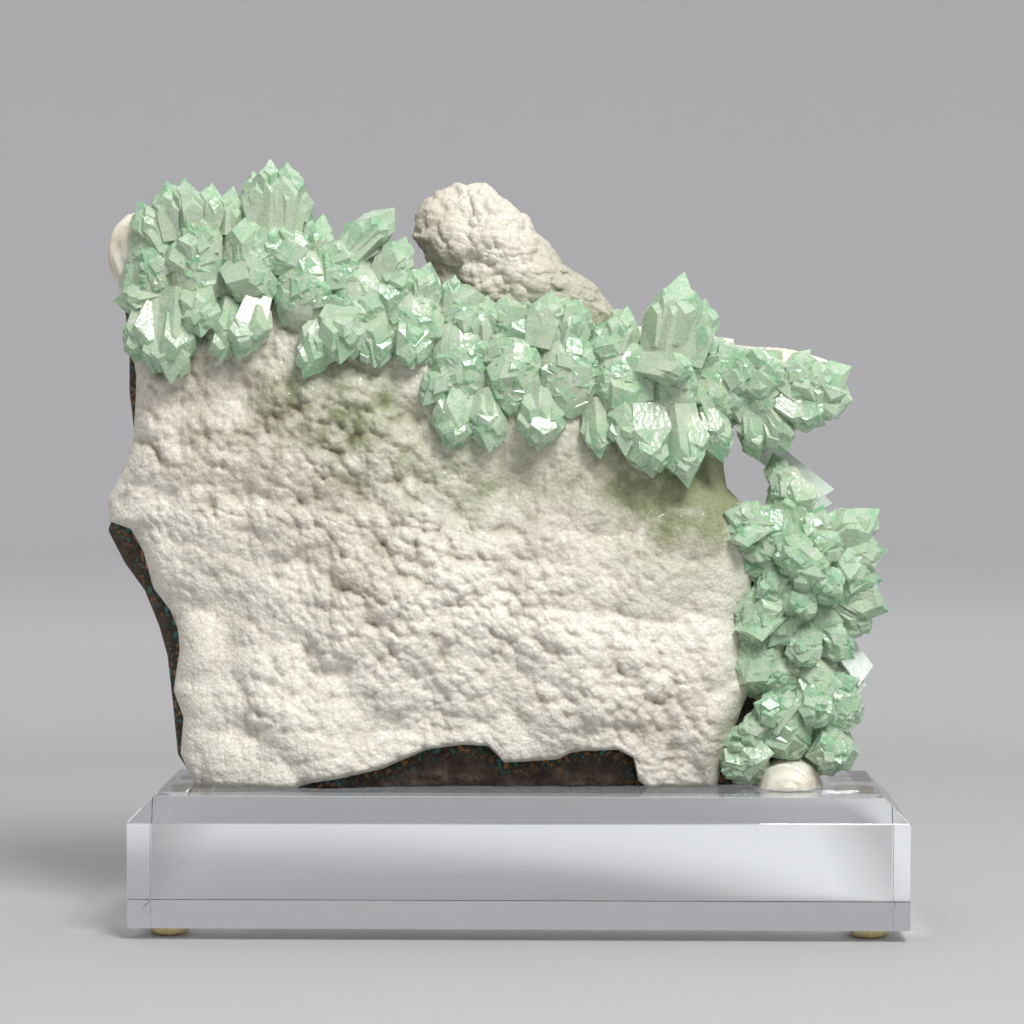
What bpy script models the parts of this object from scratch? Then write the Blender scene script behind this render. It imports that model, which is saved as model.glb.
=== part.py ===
"""Apophyllite cluster fixed on an acrylic display block: a basalt slab with a white drusy crust,
a band of green crystals along its upper edge and a spray of them down its right side.
Real size, +Z up, front towards -Y, origin on the floor under the middle of the whole piece."""

import math

import bmesh
import bpy
import numpy as np
from mathutils import Matrix, Vector

# Driving dimensions, in millimetres
BLOCK_LENGTH = 228.6
BLOCK_DEPTH = 76.2
BLOCK_HEIGHT = 38.1
BLOCK_BEVEL = 6.9
BLOCK_MIDDLE_X = 5.5
FOOT_RADIUS = 6.3
FOOT_HEIGHT = 3.2
FOOT_INSET = 11.0
FOOT_SIDES = 12
GAP = 0.3
CRUST_THICKNESS = 4.5
CRUST_RIM = 1.2
BASALT_BACK = 24.0
RECESS_DEPTH = 10.0
RECESS_SLOPE = 15.0
MM = 0.001

# Heights that follow from them
BLOCK_UNDERSIDE = FOOT_HEIGHT + GAP
BLOCK_TOP = BLOCK_UNDERSIDE + BLOCK_HEIGHT
SEAT = BLOCK_TOP + GAP

# Edge lines of the white crust, as (x, z) seen from the front
CRUST_LEFT = [(-93, SEAT), (-97, 51), (-96, 62), (-99, 70), (-97, 83), (-98, 92), (-105, 101),
              (-108, 112), (-112, 119), (-118.5, 121), (-119, 128), (-114, 137), (-111, 146),
              (-110, 164), (-112, 177), (-112, 189), (-108, 200)]
CRUST_BOTTOM = [(-93, SEAT), (-61, SEAT), (-59, 43.5), (-46, 45.5), (-35, 48), (-22, 53.5), (-11, 55),
                (-3.5, 54.5), (1, 49.5), (17, 50.5), (22, 53), (35, 53.5), (39.5, 51), (41, 44),
                (44, SEAT), (65, SEAT)]
CRUST_RIGHT = [(65, SEAT), (66.5, 50), (69.5, 57), (72.5, 66), (75.5, 72.5), (74, 78), (72, 84),
               (72.5, 94), (75, 100), (75.5, 109), (77, 117), (74.5, 125), (68, 130), (66.5, 140),
               (69, 150), (71, 164), (70, 176)]
CRUST_TOP = [(-108, 200), (-90, 208), (-70, 208), (-52, 198), (-35, 190), (-20, 186), (12, 183),
             (40, 180), (70, 176)]

# Edge lines of the basalt behind it
BASALT_LEFT = [(-93.5, SEAT), (-96.5, 47), (-98.5, 50), (-100, 66), (-101.5, 80), (-104, 89),
               (-108.5, 100), (-114.5, 108), (-119.8, 118), (-117, 126), (-112, 138), (-111.5, 148),
               (-113, 160), (-113, 174), (-114.5, 186), (-112, 198)]
BASALT_BOTTOM = [(-93.5, SEAT), (90, SEAT)]
BASALT_RIGHT = [(90, SEAT), (94, 56), (93, 76), (91, 95), (88, 112), (78, 122), (67.5, 128),
                (65.5, 138), (67, 147), (74, 153), (80, 163), (77, 171)]
BASALT_TOP = [(-112, 198), (-92, 210), (-72, 211), (-52, 200), (-33, 193), (-10, 187), (15, 183),
              (40, 180), (60, 176), (77, 171)]

# Broad swells of the front, as (x, z, radius, height)
SWELLS = [(-58, 46, 24, 8), (-30, 96, 22, 3), (-84, 128, 20, 2.5), (24, 74, 24, 3),
          (42, 108, 20, 2.5), (-8, 128, 18, -2), (-60, 150, 16, 2), (60, 62, 12, 2)]
RIDGE_FROM = (50.4, 132.7)
RIDGE_TO = (75.5, 109.1)

# The white knob behind the band, as (x, z) round its outline
KNOB_OUTLINE = [(-26.5, 207), (-24.5, 216), (-20, 220.5), (-13, 222.4), (-5, 222), (1, 217.5),
                (7, 213), (12, 205.5), (18, 199), (25, 194.5), (30, 190), (35, 182), (30, 176),
                (12, 174), (-6, 180), (-18, 190)]
KNOB_MIDDLE = (0, 200)
KNOB_Y = 7
KNOB_HALF_DEPTH = 15

# Cream growths, as outline, middle, y and half depth
CREAM_LEFT = ([(-118.2, 200), (-117.5, 208), (-113, 213.5), (-106, 214), (-101, 208), (-100, 196),
               (-106, 189), (-115, 190)], (-109, 201), -3, 8)
CREAM_LEDGE = ([(58, 168), (60, 176), (69, 174.3), (78, 173.8), (86, 173.4), (93, 171.3), (100, 169),
                (101, 162), (96, 156), (82, 154), (66, 158)], (80, 165), 3, 6)
CREAM_MOUND = ([(75, 40), (78, 47), (84, 50.5), (90, 50), (95.5, 46), (97, 40), (86, 34)],
               (86, 42), -8, 11)

# Cores that the green crystals stand on, as (x, y, z, half width, half depth, half height)
BAND_CORES = [(-103, -9, 196, 9, 8, 16), (-90, -11, 198, 10, 9, 16), (-74, -12, 198, 10, 9, 15),
              (-58, -13, 190, 10, 9, 13), (-42, -13, 186, 10, 9, 13), (-26, -13, 179, 10, 9, 12),
              (-12, -14, 168, 10, 9, 15), (4, -14, 165, 10, 9, 14), (20, -14, 165, 10, 9, 13),
              (36, -12, 162, 10, 10, 15), (50, -9, 160, 10, 12, 17), (64, -7, 160, 9, 10, 11),
              (78, -6, 159, 9, 7, 8), (89, -5, 161, 7, 6, 6)]
SPRAY_CORES = [(90, -4, 108, 11, 10, 13), (80, -6, 117, 9, 8, 7), (91, -3, 90, 9, 8, 12),
               (93, -4, 70, 9, 9, 12), (84, -8, 60, 10, 7, 10), (97, -3, 54, 8, 9, 9),
               (82, -3, 83, 8, 7, 13),
               (87, -3, 128, 5, 5, 10), (73, -10, 50, 6, 5, 6)]

# Crystals that shape the band's outline, as (foot, tip, half width)
BAND_LEADS = [
    ((-100, -12, 202), (-108, -13, 217), 5.5),
    ((-97, -13, 205), (-99.5, -13, 223), 5),
    ((-92, -14, 205), (-94, -14, 224), 5),
    ((-87, -14, 205), (-86, -13, 222.5), 5),
    ((-81, -14, 206), (-79.5, -12, 221.5), 4.5),
    ((-70, -14, 206), (-68.5, -13, 229.5), 5.5),
    ((-65, -14, 205), (-63.5, -13, 228.5), 5.5),
    ((-64, -12, 204), (-60.5, -10, 223), 5),
    ((-71, -13, 205), (-74, -11, 226), 4.5),
    ((-57, -12, 198), (-53, -9, 213.5), 5),
    ((-48, -14, 197), (-31.5, -11, 215), 5.5),
    ((-36, -15, 190), (-28, -14, 206.5), 5),
    ((-24, -14, 184), (-21, -13, 199), 5),
    ((-17, -14, 181), (-13.5, -13, 195), 3.2),
    ((-4, -15, 173), (-4, -14, 189), 5),
    ((11, -16, 173), (15, -14, 190.5), 5.5),
    ((19, -16, 172), (24, -14, 188), 5),
    ((34, -16, 171), (37.5, -13, 186), 5),
    ((48, -16, 169), (54.5, -13, 196), 7.5),
    ((55, -14, 168), (61, -12, 188), 5.5),
    ((84, -7, 163), (102, -5, 162.5), 7.5),
    ((82, -9, 158), (97, -8, 150), 5.5),
    ((78, -9, 156), (86, -9, 142), 5),
    ((74, -9, 155), (76.5, -9, 139.5), 4.5),
    ((60, -14, 156), (66, -15, 139), 5),
    ((52, -17, 156), (55.5, -21, 131.5), 6),
    ((42, -17, 156), (45, -22, 134.5), 7),
    ((37, -17, 157), (37, -24, 141), 5.5),
    ((28, -17, 158), (29.5, -21, 140), 4),
    ((12, -17, 160), (11, -23, 142.5), 6.5),
    ((-5, -17, 160), (-3, -23, 142), 5.5),
    ((-12, -17, 160), (-15.5, -23, 142.5), 6.5),
    ((-14, -16, 166), (-23, -22, 156), 5),
    ((-27, -16, 181), (-26, -23, 166.5), 5.5),
    ((-37, -16, 182), (-37, -23, 167), 6),
    ((-46, -17, 184), (-47, -26, 168), 7),
    ((-50, -16, 182), (-58, -23, 164), 5.5),
    ((-72, -16, 188), (-77.5, -23, 169.5), 5.5),
    ((-80, -15, 187), (-82.5, -21, 168.5), 5),
    ((-89, -14, 190), (-88, -24, 176), 6),
    ((-97, -13, 190), (-97.5, -20, 162), 7),
    ((-101, -12, 189), (-103, -18, 165), 6),
    ((-105, -11, 188), (-109, -15, 168.5), 5),
    ((-99, -12, 190), (-116, -13, 187), 4.5),
    ((42, -19, 168), (57, -28, 166), 4.5),
    ((70, -9, 163), (70, -19, 169), 5.5),
    ((79, -8, 163), (80, -17, 168), 5.5),
    ((88, -7, 163), (92, -14, 168), 5),
    ((-12, -14, 178), (-7, -20, 184), 5),
    ((-2, -15, 170), (4, -21, 176), 5.5),
]
SPRAY_LEADS = [
    ((95, -3, 112), (114, -1, 125), 6.5),
    ((97, -4, 109), (116.3, -2, 112.5), 5.5),
    ((97, -3, 105), (115, 0, 103.5), 4.5),
    ((97, -4, 102), (116.8, -2, 94), 5.5),
    ((96, -4, 98), (111.5, 0, 87), 5),
    ((93, -4, 112), (103.5, -3, 125), 4.5),
    ((91, -5, 112), (96.5, -6, 126.5), 5),
    ((87, -5, 114), (85, -6, 131), 5.5),
    ((86, -3, 126), (81.5, -3, 142), 4),
    ((84, -4, 116), (71.5, -8, 124), 4.5),
    ((84, -7, 112), (70, -13, 114), 4.5),
    ((87, -9, 106), (75.5, -16, 99), 5),
    ((87, -8, 100), (76, -16, 91.5), 5),
    ((89, -8, 96), (79.5, -14, 84), 5),
    ((84, -6, 84), (76, -13, 79), 4.5),
    ((85, -7, 78), (79, -15, 73), 4.5),
    ((90, -9, 110), (84, -23, 113), 6),
    ((91, -10, 107), (93, -25, 106), 6),
    ((93, -9, 104), (101, -21, 101), 5.5),
    ((90, -9, 100), (88, -22, 95), 5.5),
    ((93, -8, 112), (100, -19, 116), 5),
    ((94, -6, 90), (106, -8, 80), 5),
    ((91, -7, 88), (89, -19, 80), 5.5),
    ((96, -5, 70), (108, -6, 74), 5),
    ((97, -4, 62), (109, -4, 61), 5),
    ((98, -4, 54), (108, -4, 51), 5),
    ((92, -9, 66), (95, -21, 66), 6),
    ((85, -10, 62), (75, -18, 68), 5.5),
    ((82, -10, 60), (68.5, -15, 58), 5),
    ((96, -9, 54), (101, -20, 50), 5.5),
    ((74, -11, 50), (65.5, -15, 47), 4),
    ((78, -1, 114), (62, -7, 119), 4.5),
    ((82, -4, 108), (69, -10, 108), 4.5),
    ((85, -6, 95), (74, -11, 93), 4.5),
    ((86, -6, 73), (77, -12, 66), 4.5),
    ((88, -7, 68), (82, -19, 62), 5),
]

# Smaller crystals that fan from each core: how many, half width, reach past the core
BAND_FILL = (3, 5.0, 7.5)
SPRAY_FILL = (2, 4.6, 6.5)

# Blocky colourless prisms at the right side, as (foot, tip, half width)
UPPER_PRISMS = [((82, 6, 140), (97, 6, 128), 3.6), ((86, 7, 135), (97, 5, 124.5), 3.2),
                ((79, 5, 142), (90, 8, 134), 3.2)]
LOWER_PRISMS = [((100, 8, 86), (109.5, 4, 73), 4), ((100, 8, 82), (107.5, 5, 68), 3.6),
                ((99, 9, 74), (105, 6, 64), 3)]


def clear_scene():
    for obj in list(bpy.data.objects):
        bpy.data.objects.remove(obj)


def material(name, color, roughness, metallic=0.0, transmission=0.0, ior=1.5):
    made = bpy.data.materials.new(name)
    made.use_nodes = True
    surface = made.node_tree.nodes["Principled BSDF"].inputs
    surface["Base Color"].default_value = (*color, 1.0)
    surface["Roughness"].default_value = roughness
    surface["Metallic"].default_value = metallic
    surface["Transmission Weight"].default_value = transmission
    surface["IOR"].default_value = ior
    return made


def add_object(name, mesh, look):
    obj = bpy.data.objects.new(name, mesh)
    mesh.materials.clear()
    mesh.materials.append(look)
    bpy.context.scene.collection.objects.link(obj)
    return obj


def mesh_in_metres(name, bm):
    """Mesh of a shape drawn in millimetres, with its faces turned outwards."""
    bmesh.ops.scale(bm, vec=(MM, MM, MM), verts=bm.verts)
    bmesh.ops.recalc_face_normals(bm, faces=bm.faces)
    mesh = bpy.data.meshes.new(name)
    bm.to_mesh(mesh)
    bm.free()
    return mesh


def along(points, count):
    """Evenly spaced points on the line through hand-set ones."""
    points = np.array(points, float)
    steps = np.hypot(*np.diff(points, axis=0).T)
    reach = np.concatenate([[0.0], np.cumsum(steps)])
    at = np.linspace(0.0, reach[-1], count)
    return np.stack([np.interp(at, reach, points[:, axis]) for axis in (0, 1)], axis=1)


def blend_edges(left, right, bottom, top, columns, rows):
    """Grid of (x, z) points that blends four edge lines, with the share across and the share up."""
    across = np.linspace(0, 1, columns + 1)[None, :, None]
    up = np.linspace(0, 1, rows + 1)[:, None, None]
    left, right = along(left, rows + 1)[:, None], along(right, rows + 1)[:, None]
    bottom, top = along(bottom, columns + 1)[None], along(top, columns + 1)[None]
    corners = (1 - up) * ((1 - across) * bottom[:, :1] + across * bottom[:, -1:])
    corners = corners + up * ((1 - across) * top[:, :1] + across * top[:, -1:])
    grid = (1 - across) * left + across * right + (1 - up) * bottom + up * top - corners
    return grid[..., 0], grid[..., 1], across[..., 0] + 0 * up[..., 0], up[..., 0] + 0 * across[..., 0]


def balls(x, z, pitch, seed):
    """Height, 0 to 1, of rounded balls: one in each cell of a shaken net of the given pitch."""
    cell_x, cell_z = np.floor(x / pitch), np.floor(z / pitch)
    height = np.zeros_like(x)
    for step_x in (-1, 0, 1):
        for step_z in (-1, 0, 1):
            net_x, net_z = cell_x + step_x, cell_z + step_z
            mix = np.sin(net_x * 12.99 + net_z * 78.23 + seed) * 437.5
            ball_x = (net_x + 0.5 + 0.35 * np.sin(mix)) * pitch
            ball_z = (net_z + 0.5 + 0.35 * np.cos(mix * 1.7)) * pitch
            away = ((x - ball_x) ** 2 + (z - ball_z) ** 2) / (0.8 * pitch) ** 2
            height = np.maximum(height, 1 - away)
    return height


def smooth_step(value):
    share = np.clip(value, 0, 1)
    return share * share * (3 - 2 * share)


def front_depth(x, z):
    """y of the crust's smooth front: a shallow dome with swells, stepping back behind the ridge."""
    dome = (1 - ((x + 10) / 125) ** 2) * (1 - ((z - 105) / 130) ** 2)
    depth = -3 - 13 * dome
    for swell_x, swell_z, radius, height in SWELLS:
        depth = depth - height * np.exp(-((x - swell_x) ** 2 + (z - swell_z) ** 2) / radius**2)
    ridge_x, ridge_z = RIDGE_TO[0] - RIDGE_FROM[0], RIDGE_TO[1] - RIDGE_FROM[1]
    length = math.hypot(ridge_x, ridge_z)
    beyond = ((x - RIDGE_FROM[0]) * -ridge_z + (z - RIDGE_FROM[1]) * ridge_x) / length
    return depth + RECESS_DEPTH * smooth_step(beyond / RECESS_SLOPE)


def closed_sheet(front, back):
    """Closed shape between a front grid of points and a back grid of half as many columns and rows.
    Each back cell fans out from its corner nearest the middle, so no fan lies flat along the rim."""
    bm = bmesh.new()
    rows, columns = front.shape[0] - 1, front.shape[1] - 1
    ahead = [[bm.verts.new(front[row, column]) for column in range(columns + 1)] for row in range(rows + 1)]
    behind = {}
    for row in range(rows + 1):
        for column in range(columns + 1):
            on_edge = row in (0, rows) or column in (0, columns)
            if on_edge or (row % 2 == 0 and column % 2 == 0):
                behind[row, column] = bm.verts.new(back[row, column])
    for row in range(rows):
        for column in range(columns):
            bm.faces.new((ahead[row][column], ahead[row][column + 1],
                          ahead[row + 1][column + 1], ahead[row + 1][column]))
    for row in range(0, rows, 2):
        for column in range(0, columns, 2):
            ring = [(row, column), (row, column + 1), (row, column + 2), (row + 1, column + 2),
                    (row + 2, column + 2), (row + 2, column + 1), (row + 2, column), (row + 1, column)]
            ring = [place for place in reversed(ring) if place in behind]
            inner = (row + 2 * (row < rows / 2), column + 2 * (column < columns / 2))
            turn = ring.index(inner)
            ring = ring[turn:] + ring[:turn]
            for here, after in zip(ring[1:], ring[2:]):
                bm.faces.new((behind[inner], behind[here], behind[after]))
    rim = [(0, column) for column in range(columns)] + [(row, columns) for row in range(rows)]
    rim += [(rows, column) for column in range(columns, 0, -1)] + [(row, 0) for row in range(rows, 0, -1)]
    for here, after in zip(rim, rim[1:] + rim[:1]):
        bm.faces.new((ahead[here[0]][here[1]], behind[here], behind[after], ahead[after[0]][after[1]]))
    bmesh.ops.triangulate(bm, faces=bm.faces)
    return bm


def lump(outline, middle, y, half_depth, rings=5, around=28, bumps=0.0, seed=0.0):
    """Rounded body whose silhouette from the front is the hand-set outline."""
    bm = bmesh.new()
    edge = along(outline + outline[:1], around + 1)[:-1]
    middle = np.array(middle, float)
    circles = []
    for ring in range(-rings + 1, rings):
        tilt = ring / rings * math.pi / 2
        flat = middle + (edge - middle) * math.cos(tilt)
        ripple = bumps * balls(flat[:, 0] + 40 * tilt, flat[:, 1], 9.0, seed)
        swell = 1 + ripple / 20
        flat = middle + (flat - middle) * swell[:, None]
        deep = y + half_depth * math.sin(tilt) * swell
        circles.append([bm.verts.new((flat[i, 0], deep[i], flat[i, 1])) for i in range(around)])
    near = bm.verts.new((middle[0], y - half_depth, middle[1]))
    far = bm.verts.new((middle[0], y + half_depth, middle[1]))
    for here, after in zip(circles, circles[1:]):
        for i in range(around):
            j = (i + 1) % around
            bm.faces.new((here[i], here[j], after[j], after[i]))
    for i in range(around):
        j = (i + 1) % around
        bm.faces.new((near, circles[0][j], circles[0][i]))
        bm.faces.new((far, circles[-1][i], circles[-1][j]))
    bmesh.ops.triangulate(bm, faces=bm.faces)
    return bm


def frame_along(foot, tip, turn):
    """Axis, two side directions and the length of a crystal that runs from foot to tip."""
    foot, tip = Vector(foot), Vector(tip)
    axis = (tip - foot).normalized()
    side = axis.orthogonal().normalized()
    side.rotate(Matrix.Rotation(turn, 3, axis))
    return foot, axis, side, axis.cross(side), (tip - foot).length


def add_crystal(bm, foot, tip, half_width, turn):
    """Square prism under a pyramid turned by 45 degrees, so that its four faces are kites."""
    foot, axis, side, other, length = frame_along(foot, tip, turn)
    drop = min(1.25 * half_width, 0.45 * length)
    corners = [(1, 1), (-1, 1), (-1, -1), (1, -1)]
    gables = [(0, 1), (-1, 0), (0, -1), (1, 0)]

    def ring(places, height, reach):
        return [bm.verts.new(foot + axis * height + side * (a * reach) + other * (b * reach))
                for a, b in places]

    base = ring(corners, 0, 0.8 * half_width)
    shoulder = ring(corners, length - 2 * drop, half_width)
    gable = ring(gables, length - drop, half_width)
    apex = bm.verts.new(foot + axis * length)
    bm.faces.new(base)
    for i in range(4):
        j = (i + 1) % 4
        bm.faces.new((base[j], base[i], shoulder[i], gable[i], shoulder[j]))
        bm.faces.new((apex, gable[i - 1], shoulder[i], gable[i]))


def add_prism(bm, foot, tip, half_width, turn):
    """Square prism with a blunt, slightly sloping end."""
    foot, axis, side, other, length = frame_along(foot, tip, turn)
    rings = []
    for height, slope in ((0, 0), (length, 0.35)):
        rings.append([bm.verts.new(foot + axis * (height + slope * a * half_width)
                                   + side * (a * half_width) + other * (b * half_width * 0.7))
                      for a, b in ((1, 1), (-1, 1), (-1, -1), (1, -1))])
    bm.faces.new(reversed(rings[0]))
    bm.faces.new(rings[1])
    for i in range(4):
        j = (i + 1) % 4
        bm.faces.new((rings[0][i], rings[0][j], rings[1][j], rings[1][i]))


def add_core(bm, x, y, z, half_width, half_depth, half_height):
    made = bmesh.ops.create_icosphere(bm, subdivisions=1, radius=1.0)["verts"]
    shape = Matrix.Translation((x, y, z)) @ Matrix.Diagonal((half_width, half_depth, half_height, 1))
    bmesh.ops.transform(bm, matrix=shape, verts=made)


def add_fill(bm, cores, per_core, half_width, reach, rng):
    """Crystals that fan out from each core, towards the front and round its sides."""
    for x, y, z, half_x, half_y, half_z in cores:
        start = rng.uniform(0, math.tau)
        for number in range(per_core):
            turn = start + number * math.tau * 0.382
            lean = math.radians(18 + 62 * math.sqrt((number + 0.5) / per_core) + rng.uniform(-6, 6))
            aim = Vector((math.sin(lean) * math.cos(turn), -math.cos(lean), math.sin(lean) * math.sin(turn)))
            foot = Vector((x + 0.35 * half_x * aim.x, y, z + 0.35 * half_z * aim.z))
            out = Vector((half_x * aim.x, half_y * aim.y, half_z * aim.z)).length
            tip = Vector((x, y, z)) + aim * (out + reach * rng.uniform(0.6, 1.0))
            add_crystal(bm, foot, tip, half_width * rng.uniform(0.8, 1.15), rng.uniform(0, math.pi / 2))


def grown_copy(obj, by):
    """Hidden cutter: the object's shape pushed outwards by the gap that neighbours keep."""
    graph = bpy.context.evaluated_depsgraph_get()
    mesh = bpy.data.meshes.new_from_object(obj.evaluated_get(graph))
    bm = bmesh.new()
    bm.from_mesh(mesh)
    bm.normal_update()
    for vert in bm.verts:
        vert.co += vert.normal * by * MM
    bm.to_mesh(mesh)
    bm.free()
    cutter = bpy.data.objects.new(obj.name + "_cutter", mesh)
    bpy.context.scene.collection.objects.link(cutter)
    hide(cutter)
    return cutter


def boolean(obj, other, operation):
    step = obj.modifiers.new(operation.lower(), "BOOLEAN")
    step.operation = operation
    step.solver = "EXACT"
    step.use_self = True
    step.object = other


def hide(helper):
    helper.hide_render = True
    helper.display_type = "WIRE"


def thin_out(obj, share_kept):
    """Decimates the fused crystals, which first loses the short edges in the creases between them."""
    step = obj.modifiers.new("thin", "DECIMATE")
    step.ratio = share_kept
    return keep_main_body(obj)


def keep_main_body(obj):
    """Bakes the modifiers, welds slivers and drops chips that the cuts left loose."""
    graph = bpy.context.evaluated_depsgraph_get()
    mesh = bpy.data.meshes.new_from_object(obj.evaluated_get(graph))
    bm = bmesh.new()
    bm.from_mesh(mesh)
    bmesh.ops.triangulate(bm, faces=bm.faces)
    bmesh.ops.remove_doubles(bm, verts=bm.verts, dist=0.0005 * MM)
    left = set(bm.verts)
    bodies = []
    while left:
        body, todo = set(), [next(iter(left))]
        while todo:
            vert = todo.pop()
            if vert in body:
                continue
            body.add(vert)
            todo.extend(edge.other_vert(vert) for edge in vert.link_edges)
        bodies.append(body)
        left -= body
    main = max(bodies, key=len)
    bmesh.ops.delete(bm, geom=[vert for vert in bm.verts if vert not in main], context="VERTS")
    bmesh.ops.triangulate(bm, faces=bm.faces)
    bm.to_mesh(mesh)
    bm.free()
    obj.modifiers.clear()
    obj.data = mesh
    return obj


def acrylic_base():
    """Clear block, its top edges bevelled."""
    half_x, half_y = BLOCK_LENGTH / 2, BLOCK_DEPTH / 2
    levels = [(BLOCK_UNDERSIDE, 0), (BLOCK_TOP - BLOCK_BEVEL, 0), (BLOCK_TOP, BLOCK_BEVEL)]
    bm = bmesh.new()
    rings = []
    for z, inset in levels:
        a, b = half_x - inset, half_y - inset
        rings.append([bm.verts.new((BLOCK_MIDDLE_X + i * a, j * b, z))
                      for i, j in ((-1, -1), (1, -1), (1, 1), (-1, 1))])
    for lower, upper in zip(rings, rings[1:]):
        for i in range(4):
            j = (i + 1) % 4
            bm.faces.new((lower[i], lower[j], upper[j], upper[i]))
    bm.faces.new(reversed(rings[0]))
    bm.faces.new(rings[-1])
    look = material("clear_acrylic", (0.93, 0.95, 0.96), 0.05, transmission=1.0, ior=1.49)
    return add_object("acrylic_base", mesh_in_metres("acrylic_base", bm), look)


def rubber_feet():
    """Four domed bumpers, each a turned profile from its flat underside to its rim."""
    look = material("bumper_rubber", (0.86, 0.76, 0.48), 0.4, transmission=0.3, ior=1.45)
    rise = [math.radians(angle) for angle in (0, 35, 70)]
    profile = [(FOOT_RADIUS * (0.5 + 0.5 * math.sin(a)), FOOT_HEIGHT * (1 - math.cos(a))) for a in rise]
    profile.append((FOOT_RADIUS, FOOT_HEIGHT))
    for side_y, row in ((-1, "front"), (1, "back")):
        for side_x, end in ((-1, "left"), (1, "right")):
            bm = bmesh.new()
            rings = []
            for radius, z in profile:
                circle = bmesh.ops.create_circle(bm, segments=FOOT_SIDES, radius=radius)["verts"]
                bmesh.ops.translate(bm, vec=(0, 0, z), verts=circle)
                rings.append(circle)
            for lower, upper in zip(rings, rings[1:]):
                for i in range(FOOT_SIDES):
                    j = (i + 1) % FOOT_SIDES
                    bm.faces.new((lower[i], lower[j], upper[j], upper[i]))
            bm.faces.new(reversed(rings[0]))
            bm.faces.new(rings[-1])
            x = BLOCK_MIDDLE_X + side_x * (BLOCK_LENGTH / 2 - FOOT_INSET)
            y = side_y * (BLOCK_DEPTH / 2 - FOOT_INSET)
            bmesh.ops.translate(bm, vec=(x, y, 0), verts=bm.verts)
            name = f"rubber_foot_{row}_{end}"
            add_object(name, mesh_in_metres(name, bm), look)


def white_crust():
    """Sheet with a balled front and a bare arch at the bottom, joined to the knob behind the band."""
    x, z, across, up = blend_edges(CRUST_LEFT, CRUST_RIGHT, CRUST_BOTTOM, CRUST_TOP, 28, 22)
    from_side = np.minimum(np.minimum(across, 1 - across) * 150, (1 - up) * 140)
    rounding = np.sqrt(1 - (1 - np.clip(from_side / 8, 0, 1)) ** 2)
    smooth = front_depth(x, z)
    thickness = CRUST_RIM + (CRUST_THICKNESS - CRUST_RIM) * rounding
    bumps = 3.2 * balls(x, z, 19, 1) + 1.4 * balls(x, z, 12, 5)
    ahead = smooth + CRUST_THICKNESS - thickness - bumps * rounding
    sheet = closed_sheet(np.stack([x, ahead, z], -1), np.stack([x, smooth + CRUST_THICKNESS, z], -1))
    knob = lump(KNOB_OUTLINE, KNOB_MIDDLE, KNOB_Y, KNOB_HALF_DEPTH, 5, 22, 2.0, 3)
    look = material("drusy_crust", (0.86, 0.82, 0.76), 0.75)
    knob_obj = add_object("knob_shape", mesh_in_metres("knob_shape", knob), look)
    hide(knob_obj)
    crust = add_object("white_crust", mesh_in_metres("white_crust", sheet), look)
    boolean(crust, knob_obj, "UNION")
    return keep_main_body(crust)


def basalt_matrix(crust):
    """Rough slab that fills the space behind the crust and shows where the crust is missing."""
    x, z, across, up = blend_edges(BASALT_LEFT, BASALT_RIGHT, BASALT_BOTTOM, BASALT_TOP, 14, 12)
    from_side = np.minimum(np.minimum(across, 1 - across) * 190, (1 - up) * 150)
    rounding = np.sqrt(1 - (1 - np.clip(from_side / 14, 0, 1)) ** 2)
    ahead = front_depth(x, z) + CRUST_THICKNESS - 1.5 + 3.5 * (1 - rounding)
    ahead = np.minimum(ahead, 5.0)
    flat_back = BASALT_BACK - 8 * smooth_step((z - 90) / 110) - 8 * (1 - rounding)
    behind = flat_back + 3.5 * balls(x, z, 26, 2) * rounding + 1.5 * balls(x, z, 16, 8) * rounding
    fine = np.stack([x, behind, z], -1)
    bm = closed_sheet(fine, np.stack([x, ahead, z], -1))
    look = material("basalt", (0.10, 0.08, 0.06), 0.85)
    slab = add_object("basalt_matrix", mesh_in_metres("basalt_matrix", bm), look)
    boolean(slab, grown_copy(crust, GAP), "DIFFERENCE")
    return keep_main_body(slab)


def seat_cutter():
    """Hidden slab whose top is the level that every growth over the block is cut flat at."""
    bm = bmesh.new()
    bmesh.ops.create_cube(bm, size=1.0)
    bmesh.ops.scale(bm, vec=(1.5 * BLOCK_LENGTH, 1.5 * BLOCK_DEPTH, BLOCK_HEIGHT), verts=bm.verts)
    bmesh.ops.translate(bm, vec=(0, 0, SEAT - BLOCK_HEIGHT / 2), verts=bm.verts)
    cutter = bpy.data.objects.new("seat_cutter", mesh_in_metres("seat_cutter", bm))
    bpy.context.scene.collection.objects.link(cutter)
    hide(cutter)
    return cutter


def cut_to_fit(obj, neighbours):
    """Keeps the gap to each neighbour and cuts flat what would reach below the seat."""
    lowest = min(vert.co.z for vert in obj.data.vertices)
    if lowest < SEAT * MM:
        boolean(obj, seat_cutter(), "DIFFERENCE")
    for neighbour in neighbours:
        boolean(obj, grown_copy(neighbour, GAP), "DIFFERENCE")
    return keep_main_body(obj)


def cream_growths(neighbours):
    """Smooth cream growths: at the band's left end, along the right arm and on the block."""
    look = material("cream_zeolite", (0.86, 0.82, 0.70), 0.45)
    made = []
    for name, shape, seed in (("cream_lump_left", CREAM_LEFT, 4), ("cream_ledge_arm", CREAM_LEDGE, 6),
                              ("cream_mound", CREAM_MOUND, 7)):
        bm = lump(*shape, rings=3, around=14, bumps=0.8, seed=seed)
        obj = add_object(name, mesh_in_metres(name, bm), look)
        made.append(cut_to_fit(obj, neighbours))
    return made


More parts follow.
